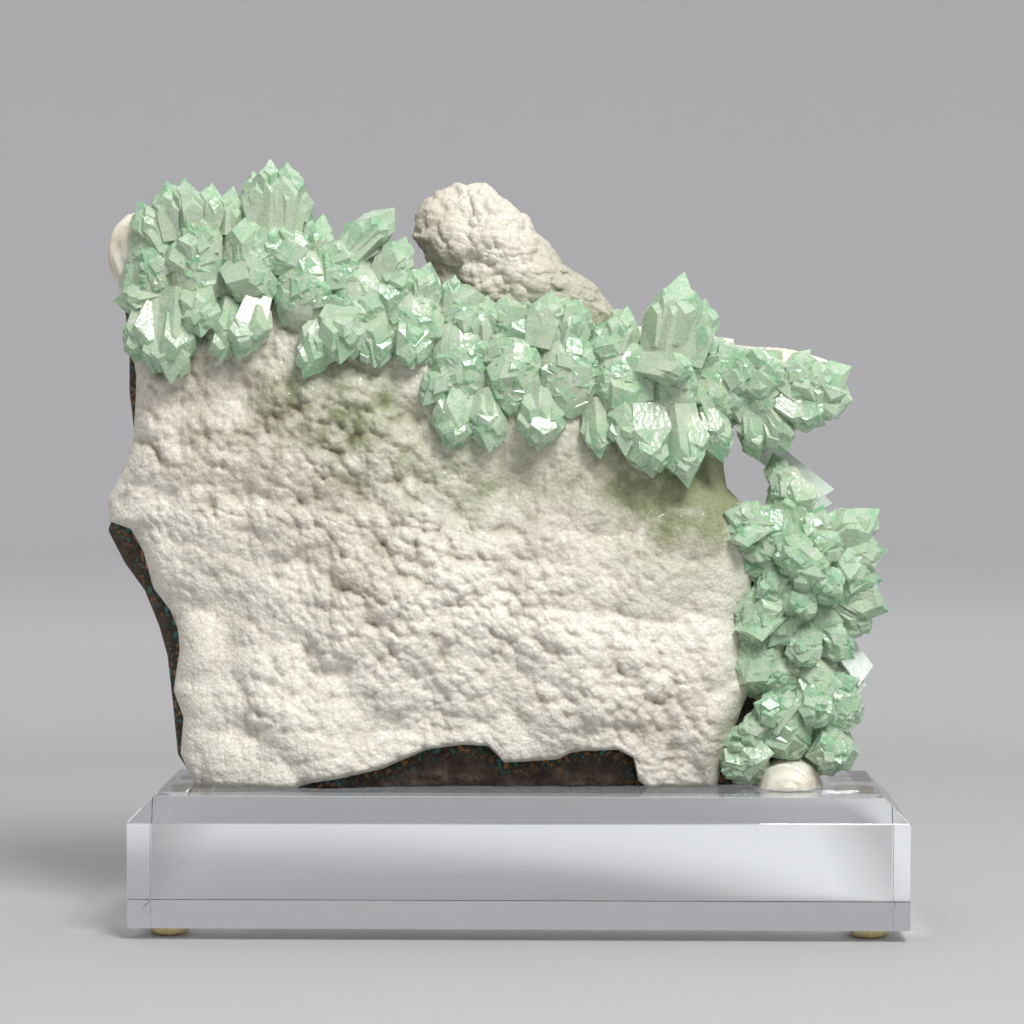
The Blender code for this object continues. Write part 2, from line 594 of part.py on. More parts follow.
def green_growth(name, cores, leads, fill, seed, share_kept, look, neighbours):
    """Crystals and the cores they stand on, fused in one solid and seated against the rock."""
    rng = np.random.default_rng(seed)
    first = bmesh.new()
    add_core(first, *cores[0])
    bm = bmesh.new()
    for core in cores[1:]:
        add_core(bm, *core)
    for foot, tip, width in leads:
        add_crystal(bm, foot, tip, width, rng.uniform(0, math.pi / 2))
    add_fill(bm, cores, *fill, rng)
    others = add_object(name + "_crystals", mesh_in_metres(name, bm), look)
    hide(others)
    obj = add_object(name, mesh_in_metres(name, first), look)
    boolean(obj, others, "UNION")
    keep_main_body(obj)
    thin_out(obj, share_kept)
    return cut_to_fit(obj, neighbours)


def pale_prisms(name, prisms, look, neighbours):
    """A few blunt prisms side by side, fused where they cross."""
    bm = bmesh.new()
    for number, (foot, tip, width) in enumerate(prisms):
        add_prism(bm, foot, tip, width, 0.3 + 0.2 * number)
    obj = add_object(name, mesh_in_metres(name, bm), look)
    return cut_to_fit(obj, neighbours)


def build():
    clear_scene()
    acrylic_base()
    rubber_feet()
    crust = white_crust()
    rock = [crust, basalt_matrix(crust)]
    rock += cream_growths(rock)
    green = material("apophyllite_green", (0.45, 0.68, 0.47), 0.15, transmission=0.4, ior=1.535)
    clear = material("pale_crystal", (0.80, 0.86, 0.80), 0.12, transmission=0.6, ior=1.5)
    band = green_growth("apophyllite_band", BAND_CORES, BAND_LEADS, BAND_FILL, 11, 0.46, green, rock)
    rock.append(band)
    spray = green_growth("apophyllite_spray", SPRAY_CORES, SPRAY_LEADS, SPRAY_FILL, 23, 0.5, green, rock)
    rock.append(spray)
    pale_prisms("pale_prisms_upper", UPPER_PRISMS, clear, rock)
    pale_prisms("pale_prisms_lower", LOWER_PRISMS, clear, rock)


build()
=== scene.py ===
import math
from types import SimpleNamespace

import bmesh
import bpy
import numpy as np
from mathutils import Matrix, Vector


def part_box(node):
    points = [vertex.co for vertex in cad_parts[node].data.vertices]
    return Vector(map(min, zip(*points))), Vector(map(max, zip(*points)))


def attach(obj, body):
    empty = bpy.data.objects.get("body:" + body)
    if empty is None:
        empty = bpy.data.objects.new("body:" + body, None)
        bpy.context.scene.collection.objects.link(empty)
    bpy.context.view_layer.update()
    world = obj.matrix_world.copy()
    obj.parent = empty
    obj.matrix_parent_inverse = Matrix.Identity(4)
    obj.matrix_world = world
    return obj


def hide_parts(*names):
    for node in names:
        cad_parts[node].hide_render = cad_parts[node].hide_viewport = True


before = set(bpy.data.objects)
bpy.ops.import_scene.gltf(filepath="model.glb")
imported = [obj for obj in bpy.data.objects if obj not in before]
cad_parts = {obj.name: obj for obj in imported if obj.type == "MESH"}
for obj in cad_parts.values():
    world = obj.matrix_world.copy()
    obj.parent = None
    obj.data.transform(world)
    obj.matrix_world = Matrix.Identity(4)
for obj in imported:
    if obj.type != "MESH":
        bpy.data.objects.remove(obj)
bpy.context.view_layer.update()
MM = 0.001

# Camera, floor and lamps. A long lens a metre away looks a little down on the block. A grey sweep runs
# up all round, soft light falls in at its open top and a square lamp stands high to the right. A paler
# patch on the floor behind the block is a painted pool of light; it brightens what shows through the
# acrylic.
CAMERA_PLACE = (0.0234, -0.9449, 0.1666)
CAMERA_AIM = (0.0030, 0.0, 0.1238)
LENS_MM = 110.1
LAMP_PLACE = (0.46, -0.86, 1.20)
LAMP_SIZE = 0.55
LAMP_WATTS = 20.0
SKY_COLOR = (0.80, 0.81, 0.83)
SKY_STRENGTH = 1.08
# Painted pool of light on the floor behind the block: its middle, half sizes and colour.
LIGHT_POOL_MIDDLE = (0.0, 0.125, 0.0)
LIGHT_POOL_HALF = (0.13, 0.155, 1.0)
LIGHT_POOL_COLOR = (0.688, 0.688, 0.688)
SWEEP_START = 1.9
SWEEP_RADIUS = 1.0
SWEEP_TOP = 2.3
SWEEP_AROUND = 96


def aimed(obj, place, aim):
    """Puts a camera or lamp at a place so that it looks at the aim."""
    obj.location = place
    obj.rotation_euler = (Vector(aim) - Vector(place)).to_track_quat("-Z", "Y").to_euler()
    bpy.context.scene.collection.objects.link(obj)


def turned(profile, around):
    """Ring k has radius profile[k, 0] and height profile[k, 1]; each ring is closed round the Z axis,
    and the first and last rings are filled."""
    angle = np.linspace(0, math.tau, around, endpoint=False)
    radius, height = profile[:, :1], profile[:, 1:]
    points = np.stack([radius * np.cos(angle), radius * np.sin(angle), height + 0 * angle], -1)
    here = np.arange(len(profile) - 1)[:, None] * around + np.arange(around)
    after = np.arange(len(profile) - 1)[:, None] * around + (np.arange(around) + 1) % around
    quads = np.stack([here, after, after + around, here + around], -1).reshape(-1, 4).tolist()
    last = (len(profile) - 1) * around
    caps = [list(range(around)), list(range(last, last + around))]
    return points.reshape(-1, 3), quads + caps


def new_piece(name, points, faces, look, smooth=True):
    """Mesh object from an array of points in metres, its faces turned outwards."""
    mesh = bpy.data.meshes.new(name)
    mesh.from_pydata(points.tolist(), [], faces)
    bm = bmesh.new()
    bm.from_mesh(mesh)
    bmesh.ops.recalc_face_normals(bm, faces=bm.faces)
    bm.to_mesh(mesh)
    bm.free()
    mesh.polygons.foreach_set("use_smooth", np.full(len(mesh.polygons), smooth))
    mesh.materials.append(look)
    piece = bpy.data.objects.new(name, mesh)
    bpy.context.scene.collection.objects.link(piece)
    return piece


def finish_of(name, **values):
    """Material with a Principled BSDF whose named sockets get these values."""
    look = bpy.data.materials.new(name)
    look.use_nodes = True
    surface = look.node_tree.nodes["Principled BSDF"]
    for socket, value in values.items():
        surface.inputs[socket.replace("_", " ")].default_value = value
    return look


def node(look, kind, links=(), **values):
    """Adds a node; values set its properties or sockets, and links are (socket, source) pairs."""
    tree = look.node_tree
    made = tree.nodes.new(kind)
    for key, value in values.items():
        if hasattr(made, key):
            setattr(made, key, value)
        else:
            made.inputs[key.replace("_", " ")].default_value = value
    for socket, source in links:
        tree.links.new(source, made.inputs[socket])
    return made


def ramp(look, source, stops):
    """Colour ramp over (position, colour) stops, driven by the source."""
    made = node(look, "ShaderNodeValToRGB", [("Fac", source)])
    elements = made.color_ramp.elements
    while len(elements) < len(stops):
        elements.new(0.5)
    for element, (place, color) in zip(elements, stops):
        element.position = place
        element.color = (*color, 1.0)
    return made.outputs["Color"]


def levels(look, source, start, first, end, last):
    """Grey level: the first value up to start, the last value from end on, and even in between."""
    return ramp(look, source, [(start, (first, first, first)), (end, (last, last, last))])


def blended(look, share, first, second, mode="MIX"):
    """Mix of two colours by a share; each is a colour or a socket."""
    made = look.node_tree.nodes.new("ShaderNodeMix")
    made.data_type = "RGBA"
    made.blend_type = mode
    for number, value in ((0, share), (6, first), (7, second)):
        if hasattr(value, "is_output"):
            look.node_tree.links.new(value, made.inputs[number])
        elif number == 0:
            made.inputs[0].default_value = value
        else:
            made.inputs[number].default_value = (*value, 1.0)
    return made.outputs[2]


def feed(look, socket, source):
    """Links a source into the material's main shader."""
    look.node_tree.links.new(source, look.node_tree.nodes["Principled BSDF"].inputs[socket])


def mottled_group():
    """Shader group shared by wax, rubber, acrylic and prisms. Noise on object coordinates lets a second
    colour in as blotches and finer noise a third as specks; the blotches also set how rough it is."""
    group = bpy.data.node_groups.new("mottled_finish", "ShaderNodeTree")
    for name, kind in (("Ground", "NodeSocketColor"), ("Blotch", "NodeSocketColor"),
                       ("Speck", "NodeSocketColor"), ("Blotch Scale", "NodeSocketFloat"),
                       ("Speck Scale", "NodeSocketFloat"), ("Smooth Roughness", "NodeSocketFloat"),
                       ("Worn Roughness", "NodeSocketFloat")):
        group.interface.new_socket(name, in_out="INPUT", socket_type=kind)
    for name, kind in (("Color", "NodeSocketColor"), ("Roughness", "NodeSocketFloat"),
                       ("Height", "NodeSocketFloat")):
        group.interface.new_socket(name, in_out="OUTPUT", socket_type=kind)
    inside = SimpleNamespace(node_tree=group)
    given = node(inside, "NodeGroupInput").outputs
    place = node(inside, "ShaderNodeTexCoord").outputs["Object"]
    wide = node(inside, "ShaderNodeTexNoise", [("Vector", place), ("Scale", given["Blotch Scale"])],
                Detail=4.0)
    fine = node(inside, "ShaderNodeTexNoise", [("Vector", place), ("Scale", given["Speck Scale"])],
                Detail=3.0)
    blotches = levels(inside, wide.outputs["Fac"], 0.42, 0, 0.66, 1)
    specks = levels(inside, fine.outputs["Fac"], 0.56, 0, 0.70, 1)
    color = blended(inside, blotches, given["Ground"], given["Blotch"])
    color = blended(inside, specks, color, given["Speck"])
    dullness = node(inside, "ShaderNodeMapRange", [("Value", blotches), ("To Min", given["Smooth Roughness"]),
                                                   ("To Max", given["Worn Roughness"])]).outputs["Result"]
    height = node(inside, "ShaderNodeMath", [(0, wide.outputs["Fac"]), (1, fine.outputs["Fac"])],
                  operation="ADD").outputs[0]
    node(inside, "NodeGroupOutput", [("Color", color), ("Roughness", dullness), ("Height", height)])
    return group


mottled = mottled_group()


def mottle(look, relief, **inputs):
    """Puts the shared finish on a material: colour, roughness and, unless relief is 0, the normal."""
    finish = node(look, "ShaderNodeGroup", node_tree=mottled, **inputs)
    feed(look, "Base Color", finish.outputs["Color"])
    feed(look, "Roughness", finish.outputs["Roughness"])
    if relief:
        bumps = node(look, "ShaderNodeBump", [("Height", finish.outputs["Height"])], Strength=relief,
                     Distance=0.0004)
        feed(look, "Normal", bumps.outputs["Normal"])


camera = bpy.data.objects.new("camera", bpy.data.cameras.new("camera"))
camera.data.lens = LENS_MM
camera.data.clip_start = 0.05
aimed(camera, CAMERA_PLACE, CAMERA_AIM)
bpy.context.scene.camera = camera

lamp = bpy.data.objects.new("lamp", bpy.data.lights.new("lamp", "AREA"))
lamp.data.size = LAMP_SIZE
lamp.data.energy = LAMP_WATTS
aimed(lamp, LAMP_PLACE, (0, 0, 0.12))

sky = bpy.data.worlds.new("sky")
sky.use_nodes = True
sky.node_tree.nodes["Background"].inputs["Color"].default_value = (*SKY_COLOR, 1.0)
sky.node_tree.nodes["Background"].inputs["Strength"].default_value = SKY_STRENGTH
bpy.context.scene.world = sky
bpy.context.scene.view_settings.view_transform = "Standard"
bpy.context.scene.cycles.max_bounces = 12
bpy.context.scene.cycles.diffuse_bounces = 3
bpy.context.scene.cycles.glossy_bounces = 4
bpy.context.scene.cycles.transmission_bounces = 12

turn = np.linspace(0, math.pi / 2, 25)
sweep_profile = np.concatenate([
    np.stack([np.linspace(0.001, SWEEP_START, 12), np.zeros(12)], 1),
    np.stack([SWEEP_START + SWEEP_RADIUS * np.sin(turn), SWEEP_RADIUS * (1 - np.cos(turn))], 1)[1:],
    [[SWEEP_START + SWEEP_RADIUS, SWEEP_TOP]],
])
paper = finish_of("grey_paper", Roughness=0.8, Specular_IOR_Level=0.2)
place = node(paper, "ShaderNodeTexCoord").outputs["Object"]
away = node(paper, "ShaderNodeVectorMath", [(0, place)], operation="LENGTH").outputs["Value"]
# Painted light: the sweep is paler further out, which makes up for the weaker light that reaches the far
# sweep.
grey = ramp(paper, away, [(0.18, (0.43, 0.43, 0.43)), (0.42, (0.42, 0.42, 0.42)),
                          (0.60, (0.50, 0.494, 0.496)), (1.0, (0.585, 0.575, 0.58))])
# Painted pool of light: a paler patch with soft edges on the floor behind the block.
shifted = node(paper, "ShaderNodeVectorMath", [(0, place)], operation="SUBTRACT")
shifted.inputs[1].default_value = LIGHT_POOL_MIDDLE
scaled = node(paper, "ShaderNodeVectorMath", [(0, shifted.outputs[0])], operation="DIVIDE")
scaled.inputs[1].default_value = LIGHT_POOL_HALF
from_middle = node(paper, "ShaderNodeVectorMath", [(0, scaled.outputs[0])], operation="ABSOLUTE")
sides = node(paper, "ShaderNodeSeparateXYZ", [("Vector", from_middle.outputs[0])]).outputs
to_edge = node(paper, "ShaderNodeMath", [(0, sides["X"]), (1, sides["Y"])], operation="MAXIMUM").outputs[0]
light_pool_share = levels(paper, to_edge, 0.82, 1, 1.0, 0)
feed(paper, "Base Color", blended(paper, light_pool_share, grey, LIGHT_POOL_COLOR))
sweep_points, sweep_faces = turned(sweep_profile, SWEEP_AROUND)
floor = new_piece("floor", sweep_points, sweep_faces[:-1], paper)

# Acrylic display block: one clear cast slab with polished faces and bevelled top edges, standing on
# its bumpers. Its corners are only just broken, so they catch thin lines of light.
BLOCK_BEVEL = 6.9 * MM
EDGE_BREAK = 0.35 * MM
block_low, block_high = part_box("acrylic_base")


def block_ring(height, inset):
    """Four corners of the block's outline at a height, moved in by the inset."""
    west, east = block_low.x + inset, block_high.x - inset
    south, north = block_low.y + inset, block_high.y - inset
    return [(west, south, height), (east, south, height), (east, north, height), (west, north, height)]


block_points = np.array(block_ring(block_low.z, 0) + block_ring(block_high.z - BLOCK_BEVEL, 0)
                        + block_ring(block_high.z, BLOCK_BEVEL))
block_faces = [[0, 1, 2, 3], [8, 9, 10, 11]]
block_faces += [[k + i, k + (i + 1) % 4, k + 4 + (i + 1) % 4, k + 4 + i] for k in (0, 4) for i in range(4)]
acrylic = finish_of("clear_acrylic", Transmission_Weight=1.0, IOR=1.49)
tint = node(acrylic, "ShaderNodeVolumeAbsorption", Color=(0.72, 0.86, 0.95, 1), Density=1.0)
ending = acrylic.node_tree.nodes["Material Output"]
acrylic.node_tree.links.new(tint.outputs["Volume"], ending.inputs["Volume"])
mottle(acrylic, 0, Ground=(0.985, 0.99, 0.995, 1), Blotch=(0.972, 0.98, 0.987, 1),
       Speck=(0.98, 0.985, 0.99, 1), Blotch_Scale=14.0, Speck_Scale=200.0,
       Smooth_Roughness=0.003, Worn_Roughness=0.025)
block = new_piece("display_block", block_points, block_faces, acrylic, smooth=False)
broken = block.modifiers.new("broken_edges", "BEVEL")
broken.width = EDGE_BREAK
broken.segments = 2
broken.limit_method = "ANGLE"
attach(block, "root")
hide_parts("acrylic_base")

# Four stick-on bumpers under the block: soft clear domes that have yellowed, flat where they rest.
BUMPER_AROUND = 48
bumper = finish_of("bumper_rubber", Transmission_Weight=0.35, IOR=1.45)
mottle(bumper, 0.1, Ground=(0.88, 0.74, 0.38, 1), Blotch=(0.83, 0.66, 0.31, 1),
       Speck=(0.82, 0.73, 0.48, 1), Blotch_Scale=160.0, Speck_Scale=900.0,
       Smooth_Roughness=0.25, Worn_Roughness=0.45)
rise = np.linspace(0, math.radians(80), 10)
for foot_name in ("rubber_foot_front_left", "rubber_foot_front_right",
                  "rubber_foot_back_left", "rubber_foot_back_right"):
    foot_low, foot_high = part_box(foot_name)
    radius, height = (foot_high.x - foot_low.x) / 2, foot_high.z - foot_low.z
    dome = np.stack([radius * (0.5 + 0.5 * np.sin(rise)), height * (1 - np.cos(rise))], 1)
    foot_points, foot_faces = turned(np.concatenate([dome, [[radius, height]]]), BUMPER_AROUND)
    foot_points += [(foot_low.x + foot_high.x) / 2, (foot_low.y + foot_high.y) / 2, foot_low.z]
    foot = new_piece(foot_name.replace("rubber_foot", "bumper"), foot_points, foot_faces, bumper)
    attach(foot, "root")
    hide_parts(foot_name)

# White druse: a sheet of tiny pale crystals grown over the rock in balls of every size. It is bonded
# to the basalt behind it, thins out to a rim all round, and leaves an arch of rock bare at the foot.
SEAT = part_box("white_crust")[0].z / MM
CRUST_LEFT = [(-93, SEAT), (-97, 51), (-96, 62), (-99, 70), (-97, 83), (-98, 92), (-105, 101),
              (-108, 112), (-112, 119), (-118.5, 121), (-119, 128), (-114, 137), (-111, 146),
              (-110, 164), (-112, 177), (-112, 189), (-108, 200)]
CRUST_BOTTOM = [(-93, SEAT), (-61, SEAT), (-59, 43.5), (-46, 45.5), (-35, 48), (-22, 53.5), (-11, 55),
                (-3.5, 54.5), (1, 49.5), (17, 50.5), (22, 53), (35, 53.5), (39.5, 51), (41, 44),
                (44, SEAT), (65, SEAT)]
CRUST_RIGHT = [(65, SEAT), (66.5, 50), (69.5, 57), (72.5, 66), (75.5, 72.5), (74, 78), (72, 84),
               (72.5, 94), (75, 100), (75.5, 109), (77, 117), (74.5, 125), (68, 130), (66.5, 140),
               (69, 150), (71, 164), (70, 176)]
CRUST_TOP = [(-108, 200), (-90, 208), (-70, 208), (-52, 198), (-35, 190), (-20, 186), (12, 183),
             (40, 180), (70, 176)]
CRUST_THICKNESS = 4.5
CRUST_RIM = 1.2
CRUST_ROUND = 8
CRUST_WIDTH, CRUST_HEIGHT = 150, 140
SWELLS = [(-58, 46, 24, 8), (-30, 96, 22, 3), (-84, 128, 20, 2.5), (24, 74, 24, 3),
          (42, 108, 20, 2.5), (-8, 128, 18, -2), (-60, 150, 16, 2), (60, 62, 12, 2)]
LUMPY_PATCHES = [(-90, 150, 26, 0.7), (-45, 150, 20, 0.7), (-38, 108, 40, 0.9), (6, 92, 28, 0.6),
                 (48, 62, 22, 0.6), (-70, 70, 22, 0.3)]
# Green-grey patches: partly greenish staining, partly painted shade and painted green bounce light under the
# crystal groups.
MOSS_AND_SHADE_PATCHES = [(-42, 152, 20, 0.8), (-14, 134, 14, 0.6), (54, 128, 20, 0.95), (66, 140, 14, 0.8),
                (38, 140, 13, 0.6), (77, 78, 7, 0.7), (73, 60, 8, 0.5), (8, 139, 16, 0.45),
                (-64, 162, 14, 0.45), (77, 98, 6, 0.5), (68, 48, 7, 0.4)]
# Grey-brown patches: partly dust, partly painted shade under the green band and in creases.
DUST_AND_SHADE_PATCHES = [(-88, 150, 24, 0.4), (-60, 138, 24, 0.5), (-40, 112, 18, 0.4), (-43, 97, 12, 0.25),
                (20, 130, 20, 0.45), (50, 116, 14, 0.4), (45, 60, 16, 0.35), (66, 66, 12, 0.35),
                (-100, 168, 16, 0.4), (10, 108, 14, 0.25), (-84, 90, 14, 0.15)]
RIDGE_FROM = (50.4, 132.7)
RIDGE_TO = (75.5, 109.1)
RECESS_DEPTH = 10.0
RECESS_SLOPE = 15.0


def along(points, count):
    """Evenly spaced points on the line through given ones."""
    points = np.array(points, float)
    reach = np.concatenate([[0.0], np.cumsum(np.hypot(*np.diff(points, axis=0).T))])
    at = np.linspace(0.0, reach[-1], count)
    return np.stack([np.interp(at, reach, points[:, axis]) for axis in (0, 1)], axis=1)


def blend_edges(left, right, bottom, top, columns, rows):
    """Grid of (x, z): the sum of the two blends between facing edges, less the blend of the four
    corners. Also gives each point's share across and share up."""
    across = np.linspace(0, 1, columns + 1)[None, :, None]
    up = np.linspace(0, 1, rows + 1)[:, None, None]
    left, right = along(left, rows + 1)[:, None], along(right, rows + 1)[:, None]
    bottom, top = along(bottom, columns + 1)[None], along(top, columns + 1)[None]
    corners = (1 - up) * ((1 - across) * bottom[:, :1] + across * bottom[:, -1:])
    corners = corners + up * ((1 - across) * top[:, :1] + across * top[:, -1:])
    grid = (1 - across) * left + across * right + (1 - up) * bottom + up * top - corners
    return grid[..., 0], grid[..., 1], across[..., 0] + 0 * up[..., 0], up[..., 0] + 0 * across[..., 0]


def balls(x, z, pitch, seed, round_tops=False):
    """One ball in each cell of a shaken net: height is 1 less the squared distance from the nearest
    ball's middle over its squared radius, or the square root of that where the tops are round."""
    cell_x, cell_z = np.floor(x / pitch), np.floor(z / pitch)
    height = np.zeros_like(x)
    for step_x in (-1, 0, 1):
        for step_z in (-1, 0, 1):
            net_x, net_z = cell_x + step_x, cell_z + step_z
            mix = np.sin(net_x * 12.99 + net_z * 78.23 + seed) * 437.5
            ball_x = (net_x + 0.5 + 0.35 * np.sin(mix)) * pitch
            ball_z = (net_z + 0.5 + 0.35 * np.cos(mix * 1.7)) * pitch
            away = ((x - ball_x) ** 2 + (z - ball_z) ** 2) / (0.8 * pitch) ** 2
            height = np.maximum(height, 1 - away)
    return np.sqrt(height) if round_tops else height


def smooth_step(value):
    """Three times the square less twice the cube of the value, held between 0 and 1."""
    share = np.clip(value, 0, 1)
    return share * share * (3 - 2 * share)


def rough(x, z, pitch, seed):
    """Smooth random hills, -1 to 1: random heights on a net of the given pitch, blended inside each
    cell by a smooth step both ways."""
    cell_x, cell_z = np.floor(x / pitch), np.floor(z / pitch)
    share_x, share_z = smooth_step(x / pitch - cell_x), smooth_step(z / pitch - cell_z)

    def corner(step_x, step_z):
        mix = np.sin((cell_x + step_x) * 127.1 + (cell_z + step_z) * 311.7 + seed * 17.3) * 4375.85
        return 2 * (mix - np.floor(mix)) - 1

    low = corner(0, 0) * (1 - share_x) + corner(1, 0) * share_x
    high = corner(0, 1) * (1 - share_x) + corner(1, 1) * share_x
    return low * (1 - share_z) + high * share_z


def patches(x, z, places):
    """Sum of bells: each (x, z, radius, strength) adds its strength at its middle and fades with the
    squared distance over the squared radius."""
    return sum(strength * np.exp(-((x - middle_x) ** 2 + (z - middle_z) ** 2) / radius**2)
               for middle_x, middle_z, radius, strength in places)


def front_depth(x, z):
    """y of the smooth front: a shallow dome with bell-shaped swells, stepping back behind the ridge."""
    dome = (1 - ((x + 10) / 125) ** 2) * (1 - ((z - 105) / 130) ** 2)
    depth = -3 - 13 * dome - patches(x, z, SWELLS)
    ridge_x, ridge_z = RIDGE_TO[0] - RIDGE_FROM[0], RIDGE_TO[1] - RIDGE_FROM[1]
    length = math.hypot(ridge_x, ridge_z)
    beyond = ((x - RIDGE_FROM[0]) * -ridge_z + (z - RIDGE_FROM[1]) * ridge_x) / length
    return depth + RECESS_DEPTH * smooth_step(beyond / RECESS_SLOPE)


def two_sided(front, back, step):
    """Closed shape between a front grid and every step-th point of a back grid. Along the rim each
    back edge is joined to the front edges that lie over it by one many-sided face."""
    rows, columns = front.shape[0], front.shape[1]
    coarse = back[::step, ::step]
    ahead = np.arange(rows * columns).reshape(rows, columns)
    behind = rows * columns + np.arange(coarse.shape[0] * coarse.shape[1]).reshape(coarse.shape[:2])
    faces = []
    for index in (ahead, behind):
        quads = np.stack([index[:-1, :-1], index[:-1, 1:], index[1:, 1:], index[1:, :-1]], -1)
        faces += quads.reshape(-1, 4).tolist()
    for fine, wide in ((ahead[0], behind[0]), (ahead[-1], behind[-1]),
                       (ahead[:, 0], behind[:, 0]), (ahead[:, -1], behind[:, -1])):
        starts = np.arange(0, len(fine) - 1, step)
        strip = fine[starts[:, None] + np.arange(step + 1)]
        faces += np.concatenate([strip, wide[1:, None], wide[:-1, None]], 1).tolist()
    return np.concatenate([front.reshape(-1, 3), coarse.reshape(-1, 3)]) * MM, faces


def keep_attribute(piece, name, values):
    """Stores one number for each point of the piece's mesh."""
    piece.data.attributes.new(name, "FLOAT", "POINT").data.foreach_set("value", values.ravel())


CRUST_COLUMNS, CRUST_ROWS, BACK_STEP = 320, 250, 10
x, z, across, up = blend_edges(CRUST_LEFT, CRUST_RIGHT, CRUST_BOTTOM, CRUST_TOP, CRUST_COLUMNS, CRUST_ROWS)
from_side = np.minimum(np.minimum(across, 1 - across) * CRUST_WIDTH, (1 - up) * CRUST_HEIGHT)
from_foot = up * CRUST_HEIGHT
rounding = np.sqrt(1 - (1 - np.clip(np.minimum(from_side, 4 * from_foot + 1) / CRUST_ROUND, 0, 1)) ** 2)
lumpy = np.clip(0.15 + 0.3 * rough(x, z, 22, 31) + patches(x, z, LUMPY_PATCHES), 0, 1)
large = balls(x, z, 8.5, 3, True)
middle = balls(x + 0.5 * z, z, 4.6, 9, True)
small = balls(x, z + 0.3 * x, 2.5, 13, True)
tiny = balls(x + 0.2 * z, z, 1.45, 21, True)
bumps = (3.2 * balls(x, z, 19, 1) + 1.4 * balls(x, z, 12, 5) + lumpy * (2.4 * large + 1.7 * middle)
         + (0.35 + 0.75 * lumpy) * small + (0.18 + 0.3 * lumpy) * tiny)
thickness = CRUST_RIM + (CRUST_THICKNESS - CRUST_RIM) * rounding
smooth_front = front_depth(x, z)
ahead = smooth_front + CRUST_THICKNESS - thickness - (bumps - 1.0) * rounding
crust_points, crust_faces = two_sided(np.stack([x, ahead, z], -1),
                                      np.stack([x, smooth_front + CRUST_THICKNESS, z], -1), BACK_STEP)
druse = finish_of("white_druse", Specular_IOR_Level=0.5)
place = node(druse, "ShaderNodeTexCoord").outputs["Object"]
hollow_shade = node(druse, "ShaderNodeAttribute", attribute_name="hollow_shade").outputs["Fac"]
stain = node(druse, "ShaderNodeTexNoise", [("Vector", place)], Scale=90.0, Detail=6.0, Roughness=0.7)
bead = node(druse, "ShaderNodeTexVoronoi", [("Vector", place)], Scale=850.0)
speck = node(druse, "ShaderNodeTexVoronoi", [("Vector", place)], Scale=1700.0)
moss_and_shade_share = node(druse, "ShaderNodeAttribute", attribute_name="moss_and_shade").outputs["Fac"]
dust_and_shade_share = node(druse, "ShaderNodeAttribute", attribute_name="dust_and_shade").outputs["Fac"]
# Painted shade: the druse is darkened in the hollows between its balls.
white = blended(druse, hollow_shade, (0.844, 0.817, 0.721), (0.44, 0.39, 0.30))
white = blended(druse, levels(druse, stain.outputs["Fac"], 0.48, 0, 0.75, 0.4),
                white, (0.70, 0.65, 0.54))
# Painted shade in the gaps between the fine beads.
white = blended(druse, levels(druse, bead.outputs["Distance"], 0.5, 0, 0.9, 0.28),
                white, (0.46, 0.41, 0.31))
own_speck = node(druse, "ShaderNodeSeparateColor", [("Color", speck.outputs["Color"])]).outputs[0]
white = blended(druse, levels(druse, own_speck, 0.0, 0.35, 0.35, 0), white, (0.50, 0.45, 0.36))
# Grey-brown patches multiplied in: partly dust, partly painted shade.
white = blended(druse, dust_and_shade_share, white, (0.66, 0.625, 0.57), "MULTIPLY")
# Green-grey patches multiplied in: partly staining, partly painted shade and painted green bounce light.
white = blended(druse, moss_and_shade_share, white, (0.36, 0.41, 0.26), "MULTIPLY")
feed(druse, "Base Color", white)
feed(druse, "Roughness", levels(druse, own_speck, 0.90, 0.62, 0.93, 0.12))
beads = node(druse, "ShaderNodeBump", [("Height", bead.outputs["Distance"])], Strength=0.4, Distance=0.0006,
             invert=True)
grit = node(druse, "ShaderNodeBump",
            [("Height", speck.outputs["Color"]), ("Normal", beads.outputs["Normal"])],
            Strength=0.8, Distance=0.0003)
feed(druse, "Normal", grit.outputs["Normal"])
crust = new_piece("druse_sheet", crust_points, crust_faces, druse)
# How deep each point lies in the creases between the balls; it sets the painted shade in the hollows.
crease = 1 - 0.4 * large * lumpy - 0.3 * (middle + small) - 0.32 * (1 - lumpy)
blotchy = 1 + 0.5 * rough(x, z, 7, 41) + 0.4 * rough(x, z, 2.6, 42)
crust_masks = {"hollow_shade": (1.6 * crease - 0.25) * (0.5 + 0.7 * lumpy),
               "moss_and_shade": patches(x, z, MOSS_AND_SHADE_PATCHES) * blotchy,
               "dust_and_shade": patches(x, z, DUST_AND_SHADE_PATCHES) * blotchy}
back_points = len(crust.data.vertices) - x.size
for mask_name, mask in crust_masks.items():
    keep_attribute(crust, mask_name, np.concatenate([np.clip(mask, 0, 1).ravel(), np.zeros(back_points)]))
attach(crust, "root")
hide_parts("white_crust")

# White knob: the same druse over a rock lump that stands up behind the green band. It is grown on the
# rock's upper edge. It is greyer at its left, which is painted shade, and a little greenish where it runs
# down into the crystals, partly tint and partly painted shade.
KNOB_OUTLINE = [(-26.5, 207), (-24.5, 216), (-20, 220.5), (-13, 222.4), (-5, 222), (1, 217.5),
                (7, 213), (12, 205.5), (18, 199), (25, 194.5), (30, 190), (35, 182), (30, 176),
                (12, 174), (-6, 180), (-18, 190)]
KNOB_MIDDLE = (0, 200)
KNOB_Y = 7
KNOB_HALF_DEPTH = 15
KNOB_RINGS, KNOB_AROUND = 130, 260


